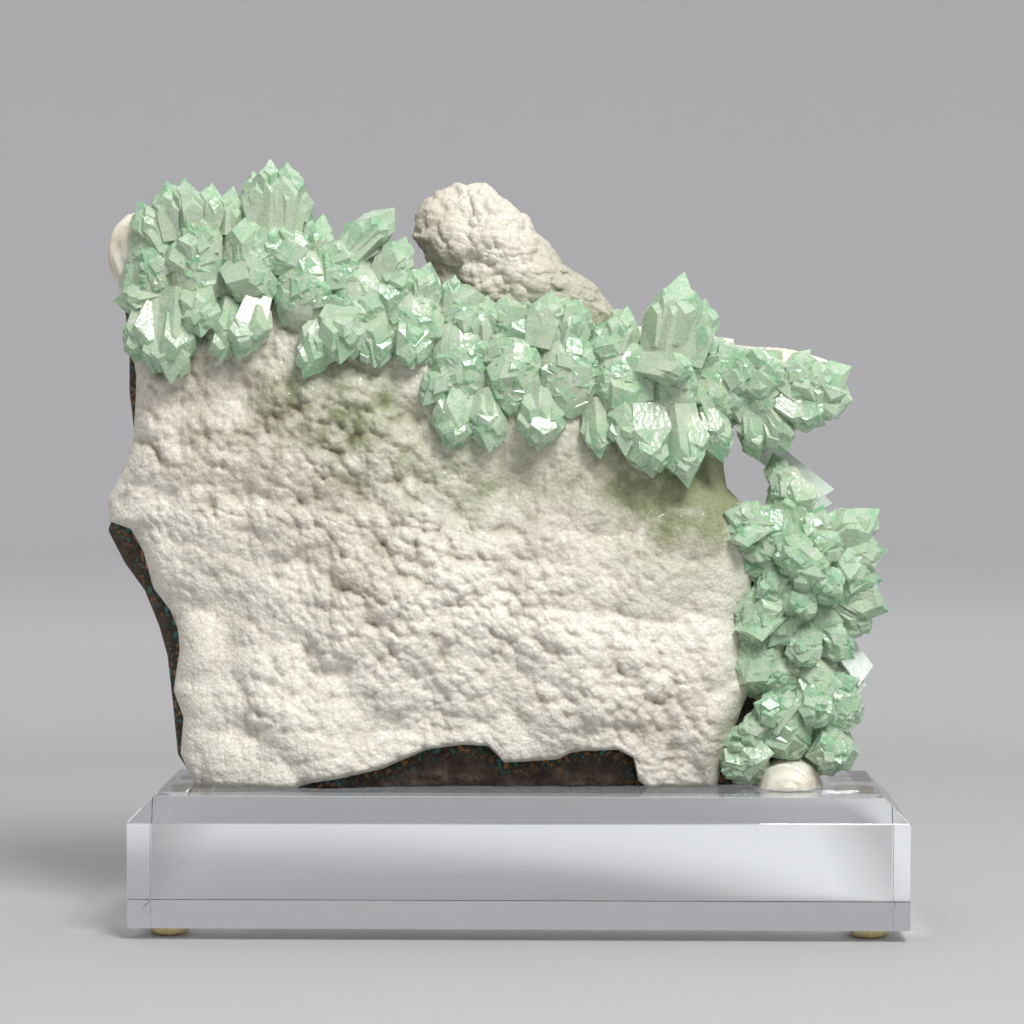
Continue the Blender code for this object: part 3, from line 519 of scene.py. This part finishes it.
def lump(outline, middle, y, half_depth, rings, around, relief, easing=0):
    """Closed body: circle k is the outline shrunk to the middle by the cosine of a tilt from -90 to
    90 degrees, at a depth that is its sine. relief(x, tilt, z) pushes each point out from the middle.
    Each easing pass moves every outline point to the average of itself, twice, and its neighbours."""
    edge = along(outline + outline[:1], around + 1)[:-1]
    for _ in range(easing):
        edge = (np.roll(edge, 1, 0) + 2 * edge + np.roll(edge, -1, 0)) / 4
    tilt = np.linspace(-math.pi / 2, math.pi / 2, rings + 2)[1:-1, None]
    flat_x = middle[0] + (edge[:, 0] - middle[0]) * np.cos(tilt)
    flat_z = middle[1] + (edge[:, 1] - middle[1]) * np.cos(tilt)
    out = np.stack([flat_x - middle[0], half_depth * np.sin(tilt) + 0 * flat_x, flat_z - middle[1]], -1)
    far = np.linalg.norm(out, axis=-1, keepdims=True)
    points = out * (1 + relief(flat_x, tilt, flat_z)[..., None] / far) + [middle[0], y, middle[1]]
    ends = np.array([[middle[0], y - half_depth, middle[1]], [middle[0], y + half_depth, middle[1]]])
    index = np.arange(rings * around).reshape(rings, around)
    beside = np.roll(index, -1, axis=1)
    quads = np.stack([index[:-1], beside[:-1], beside[1:], index[1:]], -1).reshape(-1, 4).tolist()
    near, back = rings * around, rings * around + 1
    fans = np.stack([index[0], beside[0], np.full(around, near)], -1).tolist()
    fans += np.stack([index[-1], beside[-1], np.full(around, back)], -1).tolist()
    return np.concatenate([points.reshape(-1, 3), ends]) * MM, quads + fans


def beads_in_space(x, y, z, pitch, seed):
    """One ball in each cell of a shaken net in space; height is the square root of 1 less the squared
    distance from the nearest ball's middle over its squared radius."""
    cells = [np.floor(value / pitch) for value in (x, y, z)]
    height = np.zeros_like(x)
    for step in np.ndindex(3, 3, 3):
        net = [cell + move - 1 for cell, move in zip(cells, step)]
        mix = np.sin(net[0] * 12.99 + net[1] * 39.43 + net[2] * 78.23 + seed) * 437.5
        shake = (np.sin(mix), np.cos(mix * 1.3), np.cos(mix * 1.7))
        away = sum((value - (one + 0.5 + 0.35 * move) * pitch) ** 2
                   for value, one, move in zip((x, y, z), net, shake))
        height = np.maximum(height, 1 - away / (0.8 * pitch) ** 2)
    return np.sqrt(height)


def knob_relief(flat_x, tilt, flat_z):
    """Balls of three sizes on the knob, as on the sheet."""
    deep = KNOB_HALF_DEPTH * np.sin(tilt) + 0 * flat_x
    return (2.6 * beads_in_space(flat_x, deep, flat_z, 10.0, 3)
            + 1.8 * beads_in_space(flat_x, deep, flat_z, 5.0, 8)
            + 1.1 * beads_in_space(flat_x, deep, flat_z, 2.6, 15) - 3.6)


knob_points, knob_faces = lump(KNOB_OUTLINE, KNOB_MIDDLE, KNOB_Y, KNOB_HALF_DEPTH, KNOB_RINGS, KNOB_AROUND,
                               knob_relief)
knob = new_piece("druse_knob", knob_points, knob_faces, druse)
knob_x = knob_points[:, 0] / MM
# Grey tone all over, and greyer towards the left, where the extra grey is painted shade.
keep_attribute(knob, "dust_and_shade", 0.45 + 0.5 * smooth_step((-10 - knob_x) / 16))
# Greenish towards the right: partly tint, partly painted shade.
keep_attribute(knob, "moss_and_shade", 0.45 * smooth_step((knob_x - 4) / 16))
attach(knob, "root")
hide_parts("white_crust")

# Basalt: the dark, rough lava rock that everything grew on. It fills the space behind the druse and
# shows along the left edge, in the arch at the foot and all over the back, where it was broken off.
BASALT_LEFT = [(-93.5, SEAT), (-96.5, 47), (-98.5, 50), (-100, 66), (-101.5, 80), (-104, 89),
               (-108.5, 100), (-114.5, 108), (-119.8, 118), (-117, 126), (-112, 138), (-111.5, 148),
               (-113, 160), (-113, 174), (-114.5, 186), (-112, 198)]
BASALT_BOTTOM = [(-93.5, SEAT), (90, SEAT)]
BASALT_RIGHT = [(90, SEAT), (94, 56), (93, 76), (91, 95), (88, 112), (78, 122), (67.5, 128),
                (65.5, 138), (67, 147), (74, 153), (80, 163), (77, 171)]
BASALT_TOP = [(-112, 198), (-92, 210), (-72, 211), (-52, 200), (-33, 193), (-10, 187), (15, 183),
              (40, 180), (60, 176), (77, 171)]
BASALT_BACK = 24.0
BASALT_ROUND = 14
BASALT_WIDTH, BASALT_HEIGHT = 190, 150
FLECK_REACH = 4.5
BASALT_COLUMNS, BASALT_ROWS = 210, 165
x, z, across, up = blend_edges(BASALT_LEFT, BASALT_RIGHT, BASALT_BOTTOM, BASALT_TOP,
                               BASALT_COLUMNS, BASALT_ROWS)
from_side = np.minimum(np.minimum(across, 1 - across) * BASALT_WIDTH, (1 - up) * BASALT_HEIGHT)
rounding = np.sqrt(1 - (1 - np.clip(from_side / BASALT_ROUND, 0, 1)) ** 2)
grain = 1.1 * rough(x, z, 5.0, 4) + 0.8 * rough(x, z, 2.4, 6) + 0.4 * rough(x, z, 1.2, 7)
foot_line = np.interp(x, *np.array(CRUST_BOTTOM).T)
bare = smooth_step((foot_line - z) / 1.5 + 0.5)
ahead = front_depth(x, z) + CRUST_THICKNESS + 0.6 - bare * (2.2 + grain) + 3.5 * (1 - rounding)
ahead = np.minimum(ahead, 5.0)
chips = 3.0 * np.abs(rough(x, z, 21, 11)) + 2.2 * rough(x + 0.4 * z, z, 10, 12) + 1.3 * rough(x, z, 4.5, 13)
flat_back = BASALT_BACK - 8 * smooth_step((z - 90) / 110) - 8 * (1 - rounding)
behind = flat_back + (3.5 * balls(x, z, 26, 2) + 1.5 * balls(x, z, 16, 8) + chips + grain - 1.5) * rounding
behind = np.maximum(behind, ahead + 1.0)
basalt_points, basalt_faces = two_sided(np.stack([x, behind, z], -1), np.stack([x, ahead, z], -1), 1)
basalt = finish_of("basalt_rock", Roughness=0.85, Specular_IOR_Level=0.4)
place = node(basalt, "ShaderNodeTexCoord").outputs["Object"]
rim_share = node(basalt, "ShaderNodeAttribute", attribute_name="rim").outputs["Fac"]
patch = node(basalt, "ShaderNodeTexNoise", [("Vector", place)], Scale=160.0, Detail=8.0, Roughness=0.65)
fleck = node(basalt, "ShaderNodeTexVoronoi", [("Vector", place)], Scale=900.0)
rock = ramp(basalt, patch.outputs["Fac"], [(0.3, (0.026, 0.020, 0.016)), (0.5, (0.075, 0.055, 0.040)),
                                           (0.7, (0.165, 0.13, 0.10))])
vein = node(basalt, "ShaderNodeTexNoise", [("Vector", place)], Scale=520.0, Detail=4.0)
mineral = ramp(basalt, vein.outputs["Fac"], [(0.39, (0.32, 0.16, 0.06)), (0.455, (0.05, 0.037, 0.03)),
                                             (0.56, (0.03, 0.03, 0.027)), (0.62, (0.06, 0.25, 0.215))])
in_patches = levels(basalt, patch.outputs["Fac"], 0.28, 0, 0.52, 1)
near_rim = node(basalt, "ShaderNodeMath", [(0, rim_share), (1, in_patches)], operation="MULTIPLY").outputs[0]
feed(basalt, "Base Color", blended(basalt, near_rim, rock, mineral))
pits = node(basalt, "ShaderNodeBump", [("Height", fleck.outputs["Distance"])], Strength=0.8, Distance=0.0005)
feed(basalt, "Normal", pits.outputs["Normal"])
slab = new_piece("basalt_slab", basalt_points, basalt_faces, basalt)
rim_line = np.concatenate([along(CRUST_BOTTOM, 160), along(CRUST_LEFT, 160)])
seen = np.stack([x.ravel(), z.ravel()], 1)
gap = np.min(np.hypot(seen[:, None, 0] - rim_line[None, :, 0], seen[:, None, 1] - rim_line[None, :, 1]), 1)
rim_near = np.clip(1.2 - gap / FLECK_REACH, 0, 1)
keep_attribute(slab, "rim", np.concatenate([0 * rim_near, rim_near]))
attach(slab, "root")
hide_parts("basalt_matrix")

# Green apophyllite: glassy square crystals with pointed ends, cloudy where they are rooted and
# deeper green at the tips. They crowd together along the rock's upper edge and grow out of each other.
GOLDEN_ANGLE = 2.39996
FANS_PER_CORE = 70
AIM_SHAKE, FOOT_SHAKE = 0.36, 2.0
SMALL_BIAS = 2.3
FAN_LEAST_WIDTH, FAN_ADDED_WIDTH = 2.1, 4.0
FAN_LEAST_REACH, FAN_ADDED_REACH = 0.4, 2.4
GROWTHS_PER_LEAD = 9
GROWTHS_PER_FAN = 3
WIDE_FAN = 2.4
LEAD_WIDTH_SHARE = 0.86
CORNERS_EACH = 16
CORE_RINGS, CORE_AROUND = 14, 20
RING_SHARES = (0.0, 0.55, 0.8, 1.0)
BAND_CORES = [(-103, -9, 196, 9, 8, 16), (-90, -11, 198, 10, 9, 16), (-74, -12, 198, 10, 9, 15),
              (-58, -13, 190, 10, 9, 13), (-42, -13, 186, 10, 9, 13), (-26, -13, 179, 10, 9, 12),
              (-12, -14, 168, 10, 9, 15), (4, -14, 165, 10, 9, 14), (20, -14, 165, 10, 9, 13),
              (36, -12, 162, 10, 10, 15), (50, -9, 160, 10, 12, 17), (64, -7, 160, 9, 10, 11),
              (78, -6, 159, 9, 7, 8), (89, -5, 161, 7, 6, 6)]
BAND_LEADS = [
    ((-100, -12, 202), (-108, -13, 217), 5.5),
    ((-97, -13, 205), (-99.5, -13, 223), 5),
    ((-92, -14, 205), (-94, -14, 224), 5),
    ((-87, -14, 205), (-86, -13, 222.5), 5),
    ((-81, -14, 206), (-79.5, -12, 221.5), 4.5),
    ((-70, -14, 206), (-68.5, -13, 229.5), 5.5),
    ((-65, -14, 205), (-63.5, -13, 228.5), 5.5),
    ((-64, -12, 204), (-60.5, -10, 223), 5),
    ((-71, -13, 205), (-74, -11, 226), 4.5),
    ((-57, -12, 198), (-53, -9, 213.5), 5),
    ((-48, -14, 197), (-31.5, -11, 215), 5.5),
    ((-36, -15, 190), (-28, -14, 206.5), 5),
    ((-24, -14, 184), (-21, -13, 199), 5),
    ((-17, -14, 181), (-13.5, -13, 195), 3.2),
    ((-4, -15, 173), (-4, -14, 189), 5),
    ((11, -16, 173), (15, -14, 190.5), 5.5),
    ((19, -16, 172), (24, -14, 188), 5),
    ((34, -16, 171), (37.5, -13, 186), 5),
    ((48, -16, 169), (54.5, -13, 196), 7.5),
    ((55, -14, 168), (61, -12, 188), 5.5),
    ((84, -7, 163), (102, -5, 162.5), 7.5),
    ((82, -9, 158), (97, -8, 150), 5.5),
    ((78, -9, 156), (86, -9, 142), 5),
    ((74, -9, 155), (76.5, -9, 139.5), 4.5),
    ((60, -14, 156), (66, -15, 139), 5),
    ((52, -17, 156), (55.5, -21, 131.5), 6),
    ((42, -17, 156), (45, -22, 134.5), 7),
    ((37, -17, 157), (37, -24, 141), 5.5),
    ((28, -17, 158), (29.5, -21, 140), 4),
    ((12, -17, 160), (11, -23, 142.5), 6.5),
    ((-5, -17, 160), (-3, -23, 142), 5.5),
    ((-12, -17, 160), (-15.5, -23, 142.5), 6.5),
    ((-14, -16, 166), (-23, -22, 156), 5),
    ((-27, -16, 181), (-26, -23, 166.5), 5.5),
    ((-37, -16, 182), (-37, -23, 167), 6),
    ((-46, -17, 184), (-47, -26, 168), 7),
    ((-50, -16, 182), (-58, -23, 164), 5.5),
    ((-72, -16, 188), (-77.5, -23, 169.5), 5.5),
    ((-80, -15, 187), (-82.5, -21, 168.5), 5),
    ((-89, -14, 190), (-88, -24, 176), 6),
    ((-97, -13, 190), (-97.5, -20, 162), 7),
    ((-101, -12, 189), (-103, -18, 165), 6),
    ((-105, -11, 188), (-109, -15, 168.5), 5),
    ((-99, -12, 190), (-116, -13, 187), 4.5),
    ((42, -19, 168), (57, -28, 166), 4.5),
    ((70, -9, 163), (70, -19, 169), 5.5),
    ((79, -8, 163), (80, -17, 168), 5.5),
    ((88, -7, 163), (92, -14, 168), 5),
    ((-12, -14, 178), (-7, -20, 184), 5),
    ((-2, -15, 170), (4, -21, 176), 5.5),
]


def crystals(feet, tips, half_widths, turns, steepness, blunt):
    """Sixteen corners for each crystal, and its share along: a square base of 0.8 of the half width, a
    square shoulder, a square turned by 45 degrees halfway up the pyramid, and the small flat end that
    cuts the point off. The pyramid is twice as high as its steepness times the half width."""
    axis = tips - feet
    length = np.linalg.norm(axis, axis=1, keepdims=True)
    axis = axis / length
    helper = np.where(np.abs(axis[:, 2:]) < 0.9, [[0.0, 0.0, 1.0]], [[1.0, 0.0, 0.0]])
    flat = np.cross(axis, helper)
    flat = flat / np.linalg.norm(flat, axis=1, keepdims=True)
    upright = np.cross(axis, flat)
    cosine, sine = np.cos(turns)[:, None], np.sin(turns)[:, None]
    side, other = cosine * flat + sine * upright, cosine * upright - sine * flat
    width = half_widths[:, None]
    drop = np.minimum(steepness[:, None] * width, 0.45 * length)
    end = blunt[:, None]
    corners = np.array([(1, 1), (-1, 1), (-1, -1), (1, -1)], float)
    gables = np.array([(0, 1), (-1, 0), (0, -1), (1, 0)], float)

    def ring(places, height, reach):
        return (feet[:, None] + axis[:, None] * height[:, None]
                + side[:, None] * (places[:, 0] * reach)[..., None]
                + other[:, None] * (places[:, 1] * reach)[..., None])

    rings = [ring(corners, 0 * length, 0.8 * width), ring(corners, length - 2 * drop, width),
             ring(gables, length - drop, width), ring(gables, length - end * drop, end * width)]
    return np.concatenate(rings, 1), np.broadcast_to(np.repeat(RING_SHARES, 4), (len(feet), CORNERS_EACH))


def crystal_faces(count):
    """Base, flat end, four sides that run up into the gables and four kites cut off at the end."""
    one = [[3, 2, 1, 0], [12, 13, 14, 15]]
    one += [[(i + 1) % 4, i, 4 + i, 8 + i, 4 + (i + 1) % 4] for i in range(4)]
    one += [[12 + (i - 1) % 4, 8 + (i - 1) % 4, 4 + i, 8 + i, 12 + i] for i in range(4)]
    faces = []
    for corners in one:
        faces += (np.array(corners) + CORNERS_EACH * np.arange(count)[:, None]).tolist()
    return faces


def fans(cores, per_core, rng):
    """Crystals that fan from every core over its front and sides. Directions wind from the front round
    a spiral of golden-angle steps, each a little shaken. Those whose tip would lie in another core or
    far back are left out."""
    cores = np.array(cores, float)
    middle, half = cores[:, None, :3], cores[:, None, 3:]
    step = np.arange(per_core) + 0.5
    toward = -1 + 1.5 * step / per_core
    round_it = step * GOLDEN_ANGLE
    across_it = np.sqrt(1 - toward**2)
    aim = np.stack([across_it * np.cos(round_it), toward, across_it * np.sin(round_it)], -1)[None]
    aim = aim + rng.normal(0, AIM_SHAKE, (len(cores), per_core, 3))
    aim = aim / np.linalg.norm(aim, axis=-1, keepdims=True)
    size = rng.uniform(0, 1, (len(cores), per_core)) ** SMALL_BIAS
    width = FAN_LEAST_WIDTH + FAN_ADDED_WIDTH * size
    reach = FAN_LEAST_REACH + FAN_ADDED_REACH * size * rng.uniform(0.6, 1.1, size.shape)
    core_reach = 1 / np.linalg.norm(aim / half, axis=-1)
    tips = middle + aim * (core_reach + reach)[..., None]
    lean = rng.normal(0, FOOT_SHAKE, tips.shape)
    feet = middle + aim * (core_reach - 2.6 * width - 1.0).clip(0)[..., None] + lean
    tips, feet, width = tips.reshape(-1, 3), feet.reshape(-1, 3), width.ravel()
    inside = (((tips[:, None] - cores[None, :, :3]) / (1.02 * cores[None, :, 3:])) ** 2).sum(-1).min(1) < 1
    kept = ~inside & (tips[:, 1] < 5)
    return feet[kept], tips[kept], width[kept]


def side_growths(feet, tips, widths, per_crystal, rng):
    """Smaller crystals that share each crystal's direction: round its axis by golden-angle steps, out by
    0.6 to 0.95 of its half width, leaning out a little and ending at 0.62 to 0.95 of its length."""
    length = np.linalg.norm(tips - feet, axis=1)[:, None, None]
    axis = (tips - feet)[:, None] / length
    helper = np.where(np.abs(axis[..., 2:]) < 0.9, [[[0.0, 0.0, 1.0]]], [[[1.0, 0.0, 0.0]]])
    flat = np.cross(axis, helper)
    flat = flat / np.linalg.norm(flat, axis=-1, keepdims=True)
    upright = np.cross(axis, flat)
    spots = (len(feet), per_crystal, 1)
    angle = np.arange(per_crystal)[None, :, None] * GOLDEN_ANGLE + rng.uniform(0, math.tau, (len(feet), 1, 1))
    outward = np.cos(angle) * flat + np.sin(angle) * upright
    width = widths[:, None, None]
    own_width = width * rng.uniform(0.34, 0.62, spots)
    end = rng.uniform(0.62, 0.95, spots)
    out = np.minimum(rng.uniform(0.6, 0.95, spots), 2.4 * (1.08 - end)) * width
    new_tips = feet[:, None] + axis * (end * length) + outward * out
    new_feet = feet[:, None] + axis * ((end - 0.5) * length).clip(0) + outward * 0.35 * width
    return new_feet.reshape(-1, 3), new_tips.reshape(-1, 3), own_width.ravel()


def green_growth(name, cores, leads, fill_cores, roof, per_core, seed, node_name):
    """Lead crystals with side growths, the fans between them and the rounded cores they are rooted in,
    as one mesh. Fans that would stand above the roof line are left out. Leads end in sharp points, and
    so do four in ten of the others."""
    rng = np.random.default_rng(seed)
    lead_feet = np.array([lead[0] for lead in leads], float)
    lead_tips = np.array([lead[1] for lead in leads], float)
    lead_widths = np.array([lead[2] for lead in leads], float)
    grown = [(lead_feet, lead_tips, LEAD_WIDTH_SHARE * lead_widths),
             side_growths(lead_feet, lead_tips, lead_widths, GROWTHS_PER_LEAD, rng)]
    feet, tips, widths = fans(cores + fill_cores, per_core, rng)
    under = tips[:, 2] < np.interp(tips[:, 0], *np.array(roof, float).T)
    grown.append((feet[under], tips[under], widths[under]))
    wide = under & (widths > WIDE_FAN)
    grown.append(side_growths(feet[wide], tips[wide], widths[wide], GROWTHS_PER_FAN, rng))
    feet, tips, widths = (np.concatenate([group[k] for group in grown]) for k in range(3))
    leading = np.arange(len(feet)) < len(leads)
    steepness = np.where(leading, 1.15, rng.uniform(0.55, 0.95, len(feet)))
    blunt = np.where(leading | (rng.uniform(0, 1, len(feet)) < 0.4), 0.06, rng.uniform(0.15, 0.5, len(feet)))
    points, share = crystals(feet, tips, widths, rng.uniform(0, math.pi / 2, len(feet)), steepness, blunt)
    faces = crystal_faces(len(feet))
    shade = np.repeat(rng.uniform(0, 1, len(feet)), CORNERS_EACH)
    rise = np.linspace(-math.pi / 2, math.pi / 2, CORE_RINGS + 2)[1:-1]
    ball_points, ball_faces = turned(np.stack([np.cos(rise), np.sin(rise)], 1), CORE_AROUND)
    every = [points.reshape(-1, 3)]
    start = len(feet) * CORNERS_EACH
    for core in cores + fill_cores:
        every.append(ball_points * core[3:] + core[:3])
        faces += [[start + corner for corner in face] for face in ball_faces]
        start += len(ball_points)
    piece = new_piece(name, np.concatenate(every) * MM, faces, green, smooth=False)
    balls_total = len(cores + fill_cores) * len(ball_points)
    keep_attribute(piece, "share", np.concatenate([share.ravel(), np.zeros(balls_total)]))
    keep_attribute(piece, "shade", np.concatenate([shade, np.full(balls_total, 0.5)]))
    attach(piece, "root")
    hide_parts(node_name)


BAND_FILL = [(-12, -11, 182, 8, 7, 6), (3, -12, 179, 8, 7, 6), (17, -12, 177, 8, 7, 7),
             (32, -11, 173, 8, 8, 7), (66, -8, 167, 7, 7, 6), (78, -8, 166, 8, 6, 5),
             (90, -6, 163, 8, 6, 5), (96, -4, 160, 5, 5, 6), (-32, -12, 190, 8, 7, 8),
             (-47, -12, 197, 8, 7, 8), (-66, -13, 203, 7, 7, 6), (-90, -12, 206, 8, 7, 6)]
BAND_ROOF = [(-116, 190), (-107, 215), (-99, 222), (-75, 219), (-72, 225), (-63, 227), (-57, 219),
             (-45, 207), (-28, 205), (-15, 191), (8, 186), (15, 189), (24, 187), (31, 182), (42, 182),
             (54, 194), (60, 187), (62, 175), (78, 173), (95, 169), (103, 167)]
EMERALD = (0.362, 0.713, 0.42)
green = finish_of("green_crystal", Transmission_Weight=0.45, IOR=1.535)
place = node(green, "ShaderNodeTexCoord").outputs["Object"]
share_up = node(green, "ShaderNodeAttribute", attribute_name="share").outputs["Fac"]
own_shade = node(green, "ShaderNodeAttribute", attribute_name="shade").outputs["Fac"]
cloud = node(green, "ShaderNodeTexNoise", [("Vector", place)], Scale=380.0, Detail=6.0, Roughness=0.7)
drift = node(green, "ShaderNodeTexNoise", [("Vector", place)], Scale=55.0, Detail=3.0)
deep = node(green, "ShaderNodeTexNoise", [("Vector", place)], Scale=150.0, Detail=4.0)
etching = node(green, "ShaderNodeTexVoronoi", [("Vector", place)], Scale=750.0)
body = ramp(green, share_up, [(0.0, (0.796, 0.893, 0.648)), (0.5, (0.705, 0.884, 0.613)),
                              (0.8, (0.579, 0.846, 0.543)), (1.0, (0.452, 0.789, 0.473))])
body = blended(green, levels(green, drift.outputs["Fac"], 0.5, 0, 0.7, 0.6), body, (0.452, 0.779, 0.481))
body = blended(green, levels(green, own_shade, 0.2, 0, 1.0, 0.6), body, (0.778, 0.922, 0.7))
body = blended(green, levels(green, deep.outputs["Fac"], 0.55, 0, 0.68, 0.6), body, EMERALD)
body = blended(green, levels(green, own_shade, 0.05, 0.55, 0.16, 0), body, EMERALD)
body = blended(green, levels(green, cloud.outputs["Fac"], 0.48, 0, 0.62, 0.8), body,
               (0.85, 0.931, 0.788))
feed(green, "Base Color", body)
feed(green, "Roughness", levels(green, cloud.outputs["Fac"], 0.35, 0.1, 0.65, 0.34))
etched = node(green, "ShaderNodeBump", [("Height", etching.outputs["Distance"])], Strength=0.3,
              Distance=0.0004)
feed(green, "Normal", etched.outputs["Normal"])
green_growth("green_band", BAND_CORES, BAND_LEADS, BAND_FILL, BAND_ROOF, FANS_PER_CORE, 5, "apophyllite_band")

# Green spray: more of the same crystals, in one ragged fan down the rock's right side. They are rooted
# on the rock and on the druse's edge, and the lowest reach down to the block.
SPRAY_CORES = [(90, -4, 108, 11, 10, 13), (80, -6, 117, 9, 8, 7), (91, -3, 90, 9, 8, 12),
               (93, -4, 70, 9, 9, 12), (84, -8, 60, 10, 7, 10), (97, -3, 54, 8, 9, 9),
               (82, -3, 83, 8, 7, 13), (87, -3, 128, 5, 5, 10), (73, -10, 50, 6, 5, 6)]
SPRAY_LEADS = [
    ((95, -3, 112), (114, -1, 125), 6.5),
    ((97, -4, 109), (116.3, -2, 112.5), 5.5),
    ((97, -3, 105), (115, 0, 103.5), 4.5),
    ((97, -4, 102), (116.8, -2, 94), 5.5),
    ((96, -4, 98), (111.5, 0, 87), 5),
    ((93, -4, 112), (103.5, -3, 125), 4.5),
    ((91, -5, 112), (96.5, -6, 126.5), 5),
    ((87, -5, 114), (85, -6, 131), 5.5),
    ((86, -3, 126), (81.5, -3, 142), 4),
    ((84, -4, 116), (71.5, -8, 124), 4.5),
    ((84, -7, 112), (70, -13, 114), 4.5),
    ((87, -9, 106), (75.5, -16, 99), 5),
    ((87, -8, 100), (76, -16, 91.5), 5),
    ((89, -8, 96), (79.5, -14, 84), 5),
    ((84, -6, 84), (76, -13, 79), 4.5),
    ((85, -7, 78), (79, -15, 73), 4.5),
    ((90, -9, 110), (84, -23, 113), 6),
    ((91, -10, 107), (93, -25, 106), 6),
    ((93, -9, 104), (101, -21, 101), 5.5),
    ((90, -9, 100), (88, -22, 95), 5.5),
    ((93, -8, 112), (100, -19, 116), 5),
    ((94, -6, 90), (106, -8, 80), 5),
    ((91, -7, 88), (89, -19, 80), 5.5),
    ((96, -5, 70), (108, -6, 74), 5),
    ((97, -4, 62), (109, -4, 61), 5),
    ((98, -4, 54), (108, -4, 51), 5),
    ((92, -9, 66), (95, -21, 66), 6),
    ((85, -10, 62), (75, -18, 68), 5.5),
    ((82, -10, 60), (68.5, -15, 58), 5),
    ((96, -9, 54), (101, -20, 50), 5.5),
    ((74, -11, 50), (65.5, -15, 47), 4),
    ((78, -1, 114), (62, -7, 119), 4.5),
    ((82, -4, 108), (69, -10, 108), 4.5),
    ((85, -6, 95), (74, -11, 93), 4.5),
    ((86, -6, 73), (77, -12, 66), 4.5),
    ((88, -7, 68), (82, -19, 62), 5),
]
SPRAY_FILL = [(84, -5, 99, 8, 8, 11), (84, -5, 74, 8, 7, 12), (80, -5, 112, 8, 6, 7),
              (103, -3, 104, 7, 7, 10), (100, -4, 66, 6, 7, 9), (77, -8, 92, 6, 6, 10),
              (77, -7, 78, 6, 6, 9), (74, -9, 120, 6, 5, 5)]
SPRAY_ROOF = [(60, 122), (74, 125), (80, 142), (90, 131), (97, 127), (104, 125), (114, 125),
              (118, 110)]
green_growth("green_spray", SPRAY_CORES, SPRAY_LEADS, SPRAY_FILL, SPRAY_ROOF, FANS_PER_CORE, 8,
             "apophyllite_spray")

# Cream growths: smooth waxy zeolite at the band's left end, as a thin ledge along the right arm and
# as a low mound on the block.
CREAM_LEFT = ([(-118.2, 200), (-117.5, 208), (-113, 213.5), (-106, 214), (-101, 208), (-100, 196),
               (-106, 189), (-115, 190)], (-109, 201), -3, 8)
CREAM_LEDGE = ([(58, 168), (60, 176), (69, 174.3), (78, 173.8), (86, 173.4), (93, 171.3), (100, 169),
                (101, 162), (96, 156), (82, 154), (66, 158)], (80, 165), 3, 6)
CREAM_MOUND = ([(75, 40), (78, 47), (84, 50.5), (90, 50), (95.5, 46), (97, 40), (86, 34)],
               (86, 42), -8, 11)
CREAM_RINGS, CREAM_AROUND, CREAM_EASING = 40, 96, 14
wax = finish_of("cream_zeolite", Subsurface_Weight=0.4, Subsurface_Scale=0.004,
                Subsurface_Radius=(1.0, 0.9, 0.7), Transmission_Weight=0.1)
mottle(wax, 0.25, Ground=(0.86, 0.82, 0.70, 1), Blotch=(0.72, 0.65, 0.50, 1), Speck=(0.92, 0.89, 0.80, 1),
       Blotch_Scale=120.0, Speck_Scale=700.0, Smooth_Roughness=0.3, Worn_Roughness=0.5)


def waxy_relief(flat_x, tilt, flat_z):
    """Low, wide swells."""
    return 0.9 * rough(flat_x + 30 * tilt, flat_z, 6.0, 3) + 0.35 * rough(flat_x + 30 * tilt, flat_z, 2.0, 5)


for cream_name, cream_shape, cream_node in (("cream_lump", CREAM_LEFT, "cream_lump_left"),
                                            ("cream_ledge", CREAM_LEDGE, "cream_ledge_arm"),
                                            ("cream_foot_mound", CREAM_MOUND, "cream_mound")):
    cream_points, cream_faces = lump(*cream_shape, CREAM_RINGS, CREAM_AROUND, waxy_relief, CREAM_EASING)
    cream_points[:, 2] = np.maximum(cream_points[:, 2], SEAT * MM)
    cream = new_piece(cream_name, cream_points, cream_faces, wax)
    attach(cream, "root")
    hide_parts(cream_node)

# Colourless prisms: blunt striated crystals that lean out at the right side and are rooted behind the
# spray. Their solids have the right form already, so they only get a finish.
pale = finish_of("pale_crystal", Transmission_Weight=0.35, IOR=1.5)
mottle(pale, 0.3, Ground=(0.78, 0.89, 0.78, 1), Blotch=(0.90, 0.95, 0.88, 1), Speck=(0.64, 0.82, 0.66, 1),
       Blotch_Scale=150.0, Speck_Scale=800.0, Smooth_Roughness=0.12, Worn_Roughness=0.35)
for prism_name in ("pale_prisms_upper", "pale_prisms_lower"):
    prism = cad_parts[prism_name]
    prism.data.materials.clear()
    prism.data.materials.append(pale)
